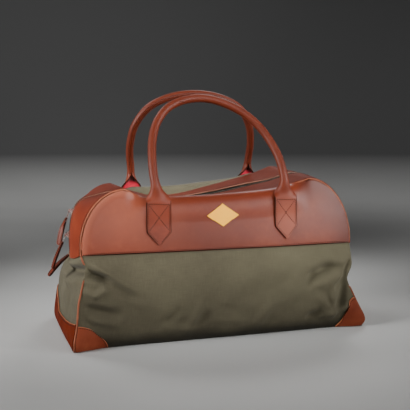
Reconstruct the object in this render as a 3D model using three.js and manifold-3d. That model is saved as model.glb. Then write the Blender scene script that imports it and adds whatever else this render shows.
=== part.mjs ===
// A soft travel bag: canvas body, leather yoke, zip strips and corner patches, two rolled handles.
// Millimetres. +X is the bag's right as seen from the front, -Y is its front and +Z is up.

import * as THREE from "three";
import { mergeVertices } from "three/addons/utils/BufferGeometryUtils.js";
import Module from "manifold-3d";

const wasm = await Module();
wasm.setup();

// Driving dimensions
const SEAM_HEIGHT = 155; // lower edge of the leather yoke and of the zip strips
const ARCH_FOOT = 165; // where the round top corners begin
const ARCH_WIDTH = 75; // width of a round top corner
const ARCH_CROWN = 6; // how far the zip stands out of the round corners, midway up
const ARCH_SHARE = 0.55; // columns with |c| above this share belong to the round corners
const ROLL_START = 0.55; // share of the upper panel that stands before it rolls over
const ROLL_LENGTH = 50; // leather in the rolled part, from its start to the top seam
const ROLL_FADE = 45; // the roll dies out over this length before a round corner
const ROLL_NEAR = 0.02; // how far in the roll's first guide point lies, as a share of the way
const ROLL_FAR = 0.45; // and its second one
const ROLL_CREST = 0.6; // share of the roll at which it is highest
const ROLL_INSET = 1.4; // a seam's inset grows by this where the panel rolls
const CORNER_BLEND = { crown: 0.6, sag: 0.55, zip: 0.5 }; // shares of a round corner
const AT_HIGHEST = 0.9; // share of the upper panel below which it is still rising
const PAST_END = 1000; // beyond the last row of every table
const CANVAS = 1.4; // canvas thickness
const LEATHER = 1.8; // leather thickness
const GAP = 0.3; // clearance between pieces that meet
const LAYER_GAP = 0.8; // clearance between curved pieces that lie on each other
const LAP = 8; // canvas that runs on behind the leather
const PIPING_RADIUS = 2.1;
const SEAM_INSET = 3.4; // from a seam's line to the edge of each panel
const FLOOR_GAP = 0.5; // the panels end this high above the resting plane
const PATCH_FLOOR = 2.5; // the patches end this high above it
const BASE_THICKNESS = 2.5;
const ZIP_OPENING = 7; // half the space between the two zip strips
const ZIP_TAPE_HALF = 12;
const ZIP_TEETH_HALF = 3;
const ZIP_TEETH_HEIGHT = 2.5;
const ZIP_STEP = 0.01; // step between columns that gives the zip's direction
const FRAME_SHIFT = { x: -1.5, y: 0 }; // moves the box's middle to the origin

// Numbers of grid steps
const CORNER_COLUMNS = 6;
const MIDDLE_COLUMNS = 13;
const BACK_COLUMNS = 8;
const FRONT_LEVELS = 11;
const YOKE_LEVELS = 8;
const BACK_LOWER_LEVELS = 6;
const BACK_UPPER_LEVELS = 7;
const END_COLUMNS = 8;
const PATCH_LEVELS = 7;
const PATCH_STEPS = 5;
const STRIP_STEPS = 3;
const ZIP_CORNER = 7;
const ZIP_MIDDLE = 16;
const LABEL_STEPS = 3;
const PIPING_SIDES = 5;
const PIPING_STEPS = 60;
const HALVINGS = 30; // steps of a search by halves

// The panels' side edges, half lengths at each height. The crowns and sags shape the two ends.
const EDGE_ROWS = table(
  ["height", "frontLeft", "frontRight", "backLeft", "backRight", "crownLeft", "crownRight", "sag"],
  [
    [0, 255, 263, 261, 258, 0, 0, 0],
    [15, 255, 269, 263, 262, 2, 2, 0],
    [40, 250, 257, 260, 255, 4, 4, 1],
    [60, 248, 247, 257, 249, 5, 5, 4],
    [80, 246, 239, 254, 245, 8, 6, 8],
    [100, 240, 235, 250, 243, 12, 8, 12],
    [122, 235, 241, 243, 244, 16, 10, 16],
    [155, 241, 239, 232, 244, 8, 6, 18],
    [165, 241, 239, 232, 244, 7, 5, 17],
  ],
);

// Half depth of the panels at their side edges, and how far their middle bulges past it
const DEPTH_ROWS = table(
  ["height", "edge", "bulge"],
  [
    [0, 107, 1],
    [12, 113, 3],
    [40, 117, 7],
    [90, 117, 9],
    [155, 113, 8],
    [210, 106, 5],
    [262, 97, 2],
    [282, 94, 0],
  ],
);

// The sagging top, station by station between the round corners
const TOP_ROWS = table(
  ["x", "frontCrest", "frontY", "frontZ", "zip", "backY", "backZ", "backCrest"],
  [
    [-166, 258, 98, 258, 254, 98, 255, 255],
    [-125, 242, 86, 238, 235, 86, 240, 250],
    [-85, 243, 80, 234, 227, 78, 231, 249],
    [-30, 244, 80, 236, 233, 76, 234, 251],
    [30, 247, 80, 242, 242, 77, 247, 257],
    [85, 250, 83, 249, 253, 82, 260, 263],
    [125, 255, 90, 258, 261, 89, 270, 272],
    [163, 270, 97, 270, 273, 95, 284, 284],
  ],
);

// Folds of the front canvas and of the two ends: a groove with a soft ridge on each side.
// On an end, across is measured from the zip's line towards the back.
const FOLD_ROWS = table(
  ["panel", "across", "height", "angle", "length", "width", "depth"],
  [
    ["front", -205, 116, -22, 110, 13, 6],
    ["front", -210, 65, -12, 60, 15, 4],
    ["front", 185, 110, 25, 75, 13, 5],
    ["front", 214, 66, 75, 60, 13, 5],
    ["front", 188, 30, -30, 50, 14, 3],
    ["left", -20, 119, 4, 220, 13, 7],
    ["right", -20, 105, -4, 200, 15, 5],
  ],
);
const FOLD_RIDGE = 0.7; // height of a fold's ridges
const FOLD_NARROW = 0.8; // how fast a fold dies out sideways
const FOLD_FLOOR = 25; // folds die out below this height
const FOLD_TOP = 140; // and from this height up to the seam
const FOLD_EDGE = 10; // power that keeps them off the side seams
const BULGE_POWER = 3;

// Heights of the ends' grid rows and of the piping's points
const END_HEIGHTS = [
  ...[FLOOR_GAP, 7, 15, 25, 36, 48, 60, 75, 90, 100, 110, 119, 128, 140],
  ...[SEAM_HEIGHT, SEAM_HEIGHT + LAP],
];
const PIPING_HEIGHTS = [PIPING_RADIUS + GAP, 15, 40, 60, 80, 100, 122, 140, SEAM_HEIGHT];
const BASE_SHARES = [-0.8, -0.4, 0, 0.4, 0.8]; // places of the base's rim across an end

// The zip pulls: height of the slider's middle on the end, lean from the vertical, and side
const PULL_ROWS = table(
  ["name", "height", "lean", "lane"],
  [
    ["upper", 214, 17, 1],
    ["lower", 175, 22, -1],
  ],
);
const SLIDER_LENGTH = 13;
const SLIDER_HALF = 5;
const SLIDER_PLATE = 1.6;
const PIN_HEIGHT = 9; // hinge pin above the leather
const PIN_RADIUS = 1;
const EAR_RADIUS = 2.6;
const EAR_THICKNESS = 1.2;
const EAR_INSET = 2; // from the slider's ends to its ears' feet
const EAR_SINK = 0.5; // the ears' feet reach this far into the plate
const EYE_RADIUS = 2.8;
const PULLER_WIDTH = 3;
const PULLER_LENGTH = 21;
const PULLER_THICKNESS = 1.6;
const LANE_GAP = 0.5; // from the zip's middle plane to a pull, which leaves the pulls side by side
const TAB_WIDTH = 9;
const TAB_LENGTH = 50;
const TAB_THICKNESS = 3;
const TAB_GRIP = 7.5; // length of the puller that the tab grips

const ZIP_END = { width: 11, length: 50, thickness: 3, slope: 45, standOff: 1.6, rise: 2 };

// The handles' tabs: place along X and the heights of their pointed tip and of their top
const TAB_ROWS = table(
  ["side", "end", "x", "tip", "top"],
  [
    ["front", "left", -114, 168, 241],
    ["front", "right", 112, 170, 243],
    ["back", "left", -114, 172, 245],
    ["back", "right", 124, 190, 263],
  ],
);
const TAB_STANDING = 205; // above this height a tab runs straight up while the panel rolls away
const TAB_CURL = 35; // or from this far below the tab's top, where that is higher
const TAB_STEPS = 7;

// The handle's strip from a tab's tip to the grip: width, share of a full roll, and wall
const STRIP_ROWS = table(
  ["distance", "width", "roll", "wall"],
  [
    [0, 4, 0.005, 2.6],
    [21, 41, 0.005, 2.6],
    [24, 41, 0.005, 2.6],
    [70, 41, 0.02, 2.6],
    [81, 42, 0.3, 2.6],
    [92, 45, 0.62, 2.8],
    [102, 47, 0.9, 3.4],
    [110, 47.7, 0.988, 5],
    [120, 47.7, 0.988, 6],
  ],
);
const FOOT_DISTANCES = [0, 21, 44, 70, 77, 84, 92, 101, 110]; // sections of a handle's foot
const GRIP_FROM = 120; // the grip's sections begin here
const GRIP_SECTIONS = 15;
const GRIP_RADIUS = 7.6;
const GRIP_LEAN = 0.3; // how far the strip's outer face looks up
const STRIP_OUTER = 8;
const STRIP_INNER = 6;
const ROUTE_DIVISIONS = 2000;

// Routes of the rolled grips from left to right: their axis as X, half depth and height
const GRIP_ROWS = {
  front: table(
    ["x", "y", "z"],
    [
      [-116, 108, 280],
      [-118, 98, 305],
      [-117, 82, 335],
      [-107, 66, 366],
      [-82, 52, 393],
      [-48, 44, 408],
      [-10, 42, 411],
      [28, 47, 401],
      [62, 59, 381],
      [88, 75, 351],
      [105, 95, 312],
      [110, 108, 282],
    ],
  ),
  back: table(
    ["x", "y", "z"],
    [
      [-115, 108, 285],
      [-119, 97, 308],
      [-121, 79, 335],
      [-115, 61, 367],
      [-92, 44, 399],
      [-52, 34, 418],
      [-2, 31, 424],
      [48, 34, 416],
      [88, 45, 397],
      [112, 62, 365],
      [122, 81, 333],
      [125, 99, 303],
    ],
  ),
};
const LINING = { from: 77, to: 97, half: 0.38, depth: 1.1, thickness: 0.8, rows: 3, columns: 4 };

// Corner patches: reach along the base and up the side
const PATCH_ROWS = table(
  ["side", "end", "along", "up"],
  [
    ["front", "left", 48, 50],
    ["front", "right", 55, 52],
    ["back", "left", 50, 52],
    ["back", "right", 50, 52],
  ],
);
const END_PATCH = { front: 45, middle: 34, back: 58 };

const LABEL = { x: -3, z: 212, width: 57, height: 38, thickness: 1.6 };

const MATERIALS = {
  canvas: material("#706a55", 0.9, 0),
  leather: material("#8a4a32", 0.5, 0),
  trim: material("#b5794f", 0.5, 0),
  label: material("#e6bd85", 0.6, 0),
  lining: material("#c43545", 0.7, 0),
  tape: material("#2c2622", 0.8, 0),
  metal: material("#c8c8c6", 0.3, 1),
};

function material(color, roughness, metalness) {
  return new THREE.MeshStandardMaterial({ color, roughness, metalness });
}

// Rows of plain values become objects with named columns
function table(names, rows) {
  return rows.map((row) => Object.fromEntries(names.map((name, i) => [name, row[i]])));
}

function lerp(a, b, t) {
  return a + (b - a) * t;
}

function smooth(low, high, value) {
  const t = Math.min(Math.max((value - low) / (high - low), 0), 1);
  return t * t * (3 - 2 * t);
}

function steps(from, to, count) {
  return Array.from({ length: count + 1 }, (_, i) => lerp(from, to, i / count));
}

// Column places: some across each round corner, others across the middle
function columns(corner, middle) {
  const inner = steps(-ARCH_SHARE, ARCH_SHARE, middle).slice(1, -1);
  return [...steps(-1, -ARCH_SHARE, corner), ...inner, ...steps(ARCH_SHARE, 1, corner)];
}

function radians(degrees) {
  return (degrees * Math.PI) / 180;
}

// A smooth curve through one column of a table, held level past its ends
function through(rows, key, name) {
  const at = rows.map((row) => row[key]);
  const value = rows.map((row) => row[name]);
  const last = at.length - 1;
  const slope = (i) => {
    const before = Math.max(i - 1, 0);
    const after = Math.min(i + 1, last);
    return (value[after] - value[before]) / (at[after] - at[before]);
  };
  return (place) => {
    const p = Math.min(Math.max(place, at[0]), at[last]);
    let i = 0;
    while (i < last - 1 && p > at[i + 1]) {
      i += 1;
    }
    const span = at[i + 1] - at[i];
    const t = (p - at[i]) / span;
    const rise = value[i + 1] - value[i];
    const start = slope(i) * span;
    const end = slope(i + 1) * span;
    return value[i] + t * (start + t * (3 * rise - 2 * start - end + t * (start + end - 2 * rise)));
  };
}

const EDGE = Object.fromEntries(
  Object.keys(EDGE_ROWS[0]).map((name) => [name, through(EDGE_ROWS, "height", name)]),
);
const DEPTH = { edge: through(DEPTH_ROWS, "height", "edge"), bulge: through(DEPTH_ROWS, "height", "bulge") };
const TOP = Object.fromEntries(Object.keys(TOP_ROWS[0]).map((name) => [name, through(TOP_ROWS, "x", name)]));

// How far the folds of one panel push its surface outwards at a place on it
function folds(panel, across, height) {
  let push = 0;
  for (const fold of FOLD_ROWS.filter((row) => row.panel === panel)) {
    const turn = radians(fold.angle);
    const dx = across - fold.across;
    const dz = height - fold.height;
    const along = (dx * Math.cos(turn) + dz * Math.sin(turn)) / (fold.length / 2);
    const off = (dz * Math.cos(turn) - dx * Math.sin(turn)) / fold.width;
    const groove = (off * off * FOLD_RIDGE - 1) * Math.exp(-off * off * FOLD_NARROW);
    push += fold.depth * groove * Math.exp(-(along ** 4));
  }
  return push;
}

// The folds die out at the floor and at the seam below the leather
function foldFade(z) {
  return smooth(0, FOLD_FLOOR, z) * smooth(SEAM_HEIGHT, FOLD_TOP, z);
}

// One large panel, front or back, as a surface over columns c from -1 to 1
class Panel {
  constructor(name) {
    this.name = name;
    this.facing = name === "front" ? -1 : 1;
  }

  // The top seam's depth and height, and the crest before it
  top(x) {
    return { y: TOP[`${this.name}Y`](x), z: TOP[`${this.name}Z`](x), crest: TOP[`${this.name}Crest`](x) };
  }

  // Half length of the panel's left or right side at a height
  edge(end, z) {
    return EDGE[`${this.name}${end < 0 ? "Left" : "Right"}`](z);
  }

  // Outward half depth at a place on the standing part of the panel
  depth(x, z) {
    const share = Math.min(Math.abs(x) / this.edge(x, z), 1);
    const plain = DEPTH.edge(z) + DEPTH.bulge(z) * (1 - share ** BULGE_POWER);
    return plain + folds(this.name, x, z) * foldFade(z) * (1 - share ** FOLD_EDGE);
  }

  // A column's place at the height of the seam, and its height at the top seam
  column(c, inset) {
    const end = c < 0 ? -1 : 1;
    const half = this.edge(end, SEAM_HEIGHT);
    const middle = half - ARCH_WIDTH;
    const share = Math.abs(c);
    if (share <= ARCH_SHARE) {
      const x = (end * middle * share) / ARCH_SHARE;
      return { x, half, ...this.top(x), roll: smooth(middle, middle - ROLL_FADE, Math.abs(x)) };
    }
    const turn = ((1 - share) / (1 - ARCH_SHARE)) * (Math.PI / 2);
    const crown = this.top(end * PAST_END).z;
    const x = end * (middle + (ARCH_WIDTH - inset) * Math.cos(turn));
    const z = ARCH_FOOT + (crown - ARCH_FOOT - inset) * Math.sin(turn);
    return { x, half, y: this.depth(x, z), z, crest: z, roll: 0 };
  }

  // A place on the lower part of the panel
  lower(c, z, inset = SEAM_INSET) {
    const column = this.column(c, 0);
    const share = column.x / column.half;
    const x = share * (this.edge(c, z) - inset);
    return new THREE.Vector3(x, this.facing * this.depth(x, z), z);
  }

  // A place on the upper part: t goes from the seam's height to the top seam
  upper(c, t, inset = SEAM_INSET) {
    const column = this.column(c, inset);
    const { x, roll } = column;
    const rise = ROLL_START * (Math.max(column.crest, column.z) - SEAM_HEIGHT);
    const startZ = SEAM_HEIGHT + rise;
    if (t <= ROLL_START) {
      const z = lerp(SEAM_HEIGHT, startZ, t / ROLL_START);
      return new THREE.Vector3(x, this.facing * this.depth(x, z), z);
    }
    const rolled = Math.abs(c) <= ARCH_SHARE ? 1 - (ROLL_INSET * inset) / ROLL_LENGTH : 1;
    const s = (rolled * (t - ROLL_START)) / (1 - ROLL_START);
    const startY = this.depth(x, startZ);
    const early = (1 - ROLL_CREST) ** 3;
    const late = ROLL_CREST ** 3;
    const high = (column.crest - early * startZ - late * column.z) / (1 - early - late);
    const nearY = lerp(startY, column.y, lerp(1 / 3, ROLL_NEAR, roll));
    const farY = lerp(startY, column.y, lerp(2 / 3, ROLL_FAR, roll));
    const nearZ = lerp(lerp(startZ, column.z, 1 / 3), high, roll);
    const farZ = lerp(lerp(startZ, column.z, 2 / 3), high, roll);
    const y = bezier(startY, nearY, farY, column.y, s);
    const z = bezier(startZ, nearZ, farZ, column.z, s);
    return new THREE.Vector3(x, this.facing * y, z);
  }

  // The panel's seam line with the zip strips
  seam(c) {
    return this.upper(c, 1, 0);
  }

  // A place on the upper panel given by its X and height, below the crest
  at(x, z) {
    const half = this.edge(x, SEAM_HEIGHT);
    const c = (ARCH_SHARE * x) / (half - ARCH_WIDTH);
    return this.upper(c, search(0, AT_HIGHEST, (t) => this.upper(c, t).z < z));
  }
}

// The place between two where a test that holds at the low one stops holding
function search(low, high, below) {
  for (let i = 0; i < HALVINGS; i += 1) {
    const middle = (low + high) / 2;
    if (below(middle)) {
      low = middle;
    } else {
      high = middle;
    }
  }
  return low;
}

function bezier(a, b, c, d, t) {
  const r = 1 - t;
  return a * r ** 3 + 3 * b * r * r * t + 3 * c * r * t * t + d * t ** 3;
}

const FRONT = new Panel("front");
const BACK = new Panel("back");

// Three places across an end at a height: the front seam, the middle and the back seam
function endStation(end, z) {
  const front = new THREE.Vector3(end * FRONT.edge(end, z), -DEPTH.edge(z), z);
  const back = new THREE.Vector3(end * BACK.edge(end, z), DEPTH.edge(z), z);
  const middle = front.clone().add(back).multiplyScalar(0.5);
  middle.x += end * EDGE[end < 0 ? "crownLeft" : "crownRight"](z);
  middle.z -= EDGE.sag(z);
  return { front, middle, back, end };
}

// The same three places across the top, for a column of the panels
function topStation(c) {
  const front = FRONT.seam(c);
  const back = BACK.seam(c);
  const end = c < 0 ? -1 : 1;
  const middle = front.clone().add(back).multiplyScalar(0.5);
  const arch = (Math.abs(c) - ARCH_SHARE) / (1 - ARCH_SHARE);
  if (arch <= 0) {
    middle.z = TOP.zip(middle.x);
    return { front, middle, back, end };
  }
  const turn = (1 - arch) * (Math.PI / 2);
  const foot = endStation(end, ARCH_FOOT).middle;
  const crown = Math.abs(foot.x) - (FRONT.edge(end, ARCH_FOOT) + BACK.edge(end, ARCH_FOOT)) / 2;
  const out = crown * smooth(0, CORNER_BLEND.crown, arch) + ARCH_CROWN * Math.sin(2 * turn);
  middle.x += end * out * Math.cos(turn);
  middle.z += out * Math.sin(turn) - EDGE.sag(ARCH_FOOT) * smooth(CORNER_BLEND.sag, 1, arch);
  middle.z += (TOP.zip(end * PAST_END) - topMiddle(end)) * smooth(CORNER_BLEND.zip, 0, arch);
  return { front, middle, back, end };
}

// Mean height of the two top seams where a round corner begins
function topMiddle(end) {
  return (FRONT.seam(end * ARCH_SHARE).z + BACK.seam(end * ARCH_SHARE).z) / 2;
}

// A place across the ends or the top, measured along Y from the zip's line as a share w
function across(station, w) {
  const { front, middle, back } = station;
  const place = new THREE.Vector3();
  place.addScaledVector(front, (w * (w - 1)) / 2);
  place.addScaledVector(middle, 1 - w * w);
  place.addScaledVector(back, (w * (w + 1)) / 2);
  return place;
}

// A place on an end, with its folds
function endPlace(end, z, w) {
  const place = across(endStation(end, z), w);
  const name = end < 0 ? "left" : "right";
  place.x += end * folds(name, place.y, place.z) * foldFade(z) * (1 - w ** FOLD_EDGE);
  return place;
}

function halfWidth(station) {
  return (station.back.y - station.front.y) / 2;
}

// Closed solid between two offsets from a grid of places, with outward facing the grid's normals
function sheet(grid, outer, inner) {
  const rows = grid.length;
  const columns = grid[0].length;
  const normals = gridNormals(grid);
  const positions = [];
  for (const offset of [outer, inner]) {
    for (let i = 0; i < rows; i += 1) {
      for (let j = 0; j < columns; j += 1) {
        const place = grid[i][j].clone().addScaledVector(normals[i][j], offset);
        positions.push(place.x, place.y, place.z);
      }
    }
  }
  const index = [];
  const inside = rows * columns;
  const quad = (a, b, c, d) => index.push(a, b, c, a, c, d);
  for (let i = 0; i + 1 < rows; i += 1) {
    for (let j = 0; j + 1 < columns; j += 1) {
      const a = i * columns + j;
      const b = a + columns;
      quad(a, b, b + 1, a + 1);
      quad(inside + a, inside + a + 1, inside + b + 1, inside + b);
    }
  }
  const rim = [];
  for (let i = 0; i + 1 < rows; i += 1) {
    rim.push(i * columns);
  }
  for (let j = 0; j + 1 < columns; j += 1) {
    rim.push((rows - 1) * columns + j);
  }
  for (let i = rows - 1; i > 0; i -= 1) {
    rim.push(i * columns + columns - 1);
  }
  for (let j = columns - 1; j > 0; j -= 1) {
    rim.push(j);
  }
  rim.forEach((a, k) => {
    const b = rim[(k + 1) % rim.length];
    quad(b, a, inside + a, inside + b);
  });
  return meshGeometry(positions, index);
}

function meshGeometry(positions, index) {
  const geometry = new THREE.BufferGeometry();
  geometry.setAttribute("position", new THREE.Float32BufferAttribute(positions, 3));
  geometry.setIndex(index);
  geometry.computeVertexNormals();
  return geometry;
}

// Unit normals of a grid: along its first index crossed with along its second index
function gridNormals(grid) {
  const last = grid.length - 1;
  const end = grid[0].length - 1;
  return grid.map((row, i) =>
    row.map((_, j) => {
      const along = grid[Math.min(i + 1, last)][j].clone().sub(grid[Math.max(i - 1, 0)][j]);
      const over = row[Math.min(j + 1, end)].clone().sub(row[Math.max(j - 1, 0)]);
      return along.cross(over).normalize();
    }),
  );
}

// A grid over two lists of parameters, turned over where its normals would point inwards
function grid(first, second, place, turned) {
  const list = turned ? [...first].reverse() : first;
  return list.map((a) => second.map((b) => place(a, b)));
}

// Closed solid through rings of places, with the given triangles over its first and last ring
function loft(rings, cap) {
  const size = rings[0].length;
  const positions = rings.flat().flatMap((place) => [place.x, place.y, place.z]);
  const index = [];
  for (let i = 0; i + 1 < rings.length; i += 1) {
    for (let j = 0; j < size; j += 1) {
      const a = i * size + j;
      const b = i * size + ((j + 1) % size);
      index.push(a, b, b + size, a, b + size, a + size);
    }
  }
  const end = (rings.length - 1) * size;
  for (const [a, b, c] of cap) {
    index.push(a, c, b, end + a, end + b, end + c);
  }
  return meshGeometry(positions, index);
}

// Triangles between the outer and the inner line of a strip's ring
function stripCap(outer, inner) {
  const triangles = [];
  let i = 0;
  let j = outer.length + inner.length - 1;
  while (i < outer.length - 1 || j > outer.length) {
    const nextOuter = outer[i + 1] ?? Infinity;
    const nextInner = inner[j - 1 - outer.length] ?? Infinity;
    if (nextOuter <= nextInner) {
      triangles.push([i, i + 1, j]);
      i += 1;
    } else {
      triangles.push([i, j - 1, j]);
      j -= 1;
    }
  }
  return triangles;
}

// A round cord along a list of places
function cord(places, radius, sides, count) {
  const shape = new THREE.Shape();
  for (let i = 0; i < sides; i += 1) {
    const turn = (2 * Math.PI * i) / sides;
    const method = i === 0 ? "moveTo" : "lineTo";
    shape[method](radius * Math.cos(turn), radius * Math.sin(turn));
  }
  shape.closePath();
  const extrudePath = new THREE.CatmullRomCurve3(places);
  return new THREE.ExtrudeGeometry(shape, { steps: count, extrudePath, bevelEnabled: false });
}

const bag = new THREE.Group();

function add(name, geometry, kind, parent = bag) {
  const mesh = new THREE.Mesh(geometry, MATERIALS[kind]);
  mesh.name = name;
  parent.add(mesh);
  return mesh;
}

// Body panels
const COLUMNS = columns(CORNER_COLUMNS, MIDDLE_COLUMNS);
const LEATHER_IN = LAYER_GAP;
const LEATHER_OUT = LEATHER_IN + LEATHER;

function addPanels() {
  const lowerHeights = [...steps(FLOOR_GAP, SEAM_HEIGHT, FRONT_LEVELS), SEAM_HEIGHT + LAP];
  const canvasGrid = grid(COLUMNS, lowerHeights, (c, z) => FRONT.lower(c, z), false);
  add("front_canvas", sheet(canvasGrid, 0, -CANVAS), "canvas");
  const yokeGrid = grid(COLUMNS, steps(0, 1, YOKE_LEVELS), (c, t) => FRONT.upper(c, t), false);
  add("front_yoke", sheet(yokeGrid, LEATHER_OUT, LEATHER_IN), "leather");
  const backPlace = (c, level) => {
    const z = lerp(FLOOR_GAP, SEAM_HEIGHT, level);
    return level < 1 ? BACK.lower(c, z) : BACK.upper(c, level - 1);
  };
  const backLevels = [...steps(0, 1, BACK_LOWER_LEVELS).slice(0, -1), ...steps(1, 2, BACK_UPPER_LEVELS)];
  const backGrid = grid(columns(CORNER_COLUMNS, BACK_COLUMNS), backLevels, backPlace, true);
  add("back_canvas", sheet(backGrid, 0, -CANVAS), "canvas");
}

// Ends, zip strips and base
function edgeShare(station) {
  return 1 - SEAM_INSET / halfWidth(station);
}

function addEnds() {
  for (const end of [-1, 1]) {
    const name = end < 0 ? "left" : "right";
    const place = (share, z) => endPlace(end, z, share * edgeShare(endStation(end, z)));
    const places = grid(steps(-1, 1, END_COLUMNS), END_HEIGHTS, place, end < 0);
    add(`end_canvas_${name}`, sheet(places, 0, -CANVAS), "canvas");
    const patch = (share, level) => {
      const side = share < 0 ? END_PATCH.front : END_PATCH.back;
      const top = lerp(END_PATCH.middle, side, share * share);
      const z = lerp(PATCH_FLOOR, top, level);
      return endPlace(end, z, share * edgeShare(endStation(end, z)));
    };
    const patchGrid = grid(steps(-1, 1, END_COLUMNS), steps(0, 1, PATCH_LEVELS), patch, end < 0);
    add(`corner_end_${name}`, sheet(patchGrid, LEATHER_OUT, LEATHER_IN), "leather");
  }
}

// The stations of the zip from the left end over the top to the right end
const TOP_STATIONS = columns(ZIP_CORNER, ZIP_MIDDLE).map((c) => topStation(c));
const STRIP_STATIONS = [endStation(-1, SEAM_HEIGHT), ...TOP_STATIONS, endStation(1, SEAM_HEIGHT)];

function addZip() {
  const side = (from, to) => (station, share) => {
    const half = halfWidth(station);
    return across(station, lerp(from(half), to(half), share));
  };
  const frontPlace = side((half) => SEAM_INSET / half - 1, (half) => -ZIP_OPENING / half);
  const backPlace = side((half) => ZIP_OPENING / half, (half) => 1 - SEAM_INSET / half);
  const shares = steps(0, 1, STRIP_STEPS);
  const frontGrid = grid(STRIP_STATIONS, shares, frontPlace, false);
  add("zip_strip_front", sheet(frontGrid, LEATHER_OUT, LEATHER_IN), "leather");
  const backGrid = grid(STRIP_STATIONS, shares, backPlace, false);
  add("zip_strip_back", sheet(backGrid, LEATHER_OUT, LEATHER_IN), "leather");
  const middle = (width) => side((half) => -width / half, (half) => width / half);
  const pair = [0, 1];
  const tapeGrid = grid(TOP_STATIONS, pair, middle(ZIP_TAPE_HALF), false);
  add("zip_tape", sheet(tapeGrid, 0, -CANVAS), "tape");
  const teethGrid = grid(TOP_STATIONS, pair, middle(ZIP_TEETH_HALF), false);
  add("zip_teeth", sheet(teethGrid, GAP + ZIP_TEETH_HEIGHT, GAP), "metal");
}

function addBase() {
  const inset = CANVAS + 2 * GAP;
  const rim = [];
  for (const c of COLUMNS) {
    const place = FRONT.lower(c, FLOOR_GAP);
    rim.push([place.x, place.y + inset]);
  }
  for (const w of BASE_SHARES) {
    const place = endPlace(1, FLOOR_GAP, w);
    rim.push([place.x - inset, place.y]);
  }
  for (const c of [...COLUMNS].reverse()) {
    const place = BACK.lower(c, FLOOR_GAP);
    rim.push([place.x, place.y - inset]);
  }
  for (const w of [...BASE_SHARES].reverse()) {
    const place = endPlace(-1, FLOOR_GAP, w);
    rim.push([place.x + inset, place.y]);
  }
  const shape = outline(rim);
  shape.closePath();
  const board = new THREE.ExtrudeGeometry(shape, { depth: BASE_THICKNESS, bevelEnabled: false });
  add("base_panel", board, "canvas");
}

// A shape that begins with straight lines through a list of points
function outline(points) {
  const shape = new THREE.Shape();
  points.forEach(([x, y], i) => (i === 0 ? shape.moveTo(x, y) : shape.lineTo(x, y)));
  return shape;
}

// Piping in the seams of the two panels
function addPiping() {
  for (const panel of [FRONT, BACK]) {
    const rise = PIPING_HEIGHTS.map((z) => endStation(-1, z)[panel.name]);
    const fall = [...PIPING_HEIGHTS].reverse().map((z) => endStation(1, z)[panel.name]);
    const places = [...rise, ...COLUMNS.map((c) => panel.seam(c)), ...fall];
    add(`piping_${panel.name}`, cord(places, PIPING_RADIUS, PIPING_SIDES, PIPING_STEPS), "trim");
  }
}

// Leather patches on the lower corners of the panels: a square grid pressed into a quarter disc
function addPatches() {
  for (const row of PATCH_ROWS) {
    const panel = row.side === "front" ? FRONT : BACK;
    const end = row.end === "left" ? -1 : 1;
    const place = (a, b) => {
      const z = PATCH_FLOOR + row.up * b * Math.sqrt(1 - (a * a) / 2);
      const x = end * (panel.edge(end, z) - SEAM_INSET - row.along * a * Math.sqrt(1 - (b * b) / 2));
      return new THREE.Vector3(x, panel.facing * panel.depth(x, z), z);
    };
    const turned = end * panel.facing < 0;
    const places = grid(steps(0, 1, PATCH_STEPS), steps(0, 1, PATCH_STEPS), place, turned);
    add(`corner_${row.side}_${row.end}`, sheet(places, LEATHER_OUT, LEATHER_IN), "leather");
  }
}

// Diamond label on the yoke
function addLabel() {
  const place = (a, b) => {
    const x = LABEL.x + ((a + b) * LABEL.width) / 4;
    const z = LABEL.z + ((b - a) * LABEL.height) / 4;
    return FRONT.at(x, z);
  };
  const places = grid(steps(-1, 1, LABEL_STEPS), steps(-1, 1, LABEL_STEPS), place, false);
  const under = LEATHER_OUT + LAYER_GAP;
  add("label", sheet(places, under + LABEL.thickness, under), "label");
}

// Stations of a handle's strip: frames along its route, from the left tab's tip to the right one's
class Handle {
  constructor(panel) {
    this.panel = panel;
    const tabs = TAB_ROWS.filter((row) => row.side === panel.name);
    const left = this.tabPlaces(tabs[0]);
    const right = this.tabPlaces(tabs[1]).reverse();
    const grip = GRIP_ROWS[panel.name].map((row) => new THREE.Vector3(row.x, panel.facing * row.y, row.z));
    this.curve = new THREE.CatmullRomCurve3([...left, ...grip, ...right], false, "centripetal");
    this.curve.arcLengthDivisions = ROUTE_DIVISIONS;
    this.length = this.curve.getLength();
  }

  // The outer face of a tab, from its tip to its top
  tabPlaces(tab) {
    const { panel } = this;
    const under = panel === FRONT ? LEATHER_OUT + LAYER_GAP : 2 * LAYER_GAP;
    const out = panel.facing * (under + STRIP_ROWS[0].wall);
    const standing = Math.max(TAB_STANDING, tab.top - TAB_CURL);
    return steps(tab.tip, tab.top, TAB_STEPS).map((z) => {
      const skin = panel.at(tab.x, Math.min(z, standing)).y;
      return new THREE.Vector3(tab.x, skin + out, z);
    });
  }

  // The strip's frame at a distance along the route
  station(distance) {
    const along = Math.min(Math.max(distance / this.length, 0), 1);
    const near = Math.min(distance, this.length - distance);
    const tangent = this.curve.getTangentAt(along);
    const out = new THREE.Vector3(0, this.panel.facing, GRIP_LEAN);
    out.addScaledVector(tangent, -out.dot(tangent)).normalize();
    const side = new THREE.Vector3().crossVectors(tangent, out);
    const row = Object.fromEntries(Object.keys(STRIP).map((name) => [name, STRIP[name](near)]));
    const place = this.curve.getPointAt(along);
    place.addScaledVector(out, GRIP_RADIUS * smooth(0, 1, row.roll));
    return { place, out, side, ...row };
  }

  // Distances of the lofted sections
  distances() {
    const grip = steps(GRIP_FROM, this.length - GRIP_FROM, GRIP_SECTIONS);
    return [...FOOT_DISTANCES, ...grip, ...FOOT_DISTANCES.map((d) => this.length - d).reverse()];
  }
}

const STRIP = Object.fromEntries(
  ["width", "roll", "wall"].map((name) => [name, through(STRIP_ROWS, "distance", name)]),
);

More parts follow.
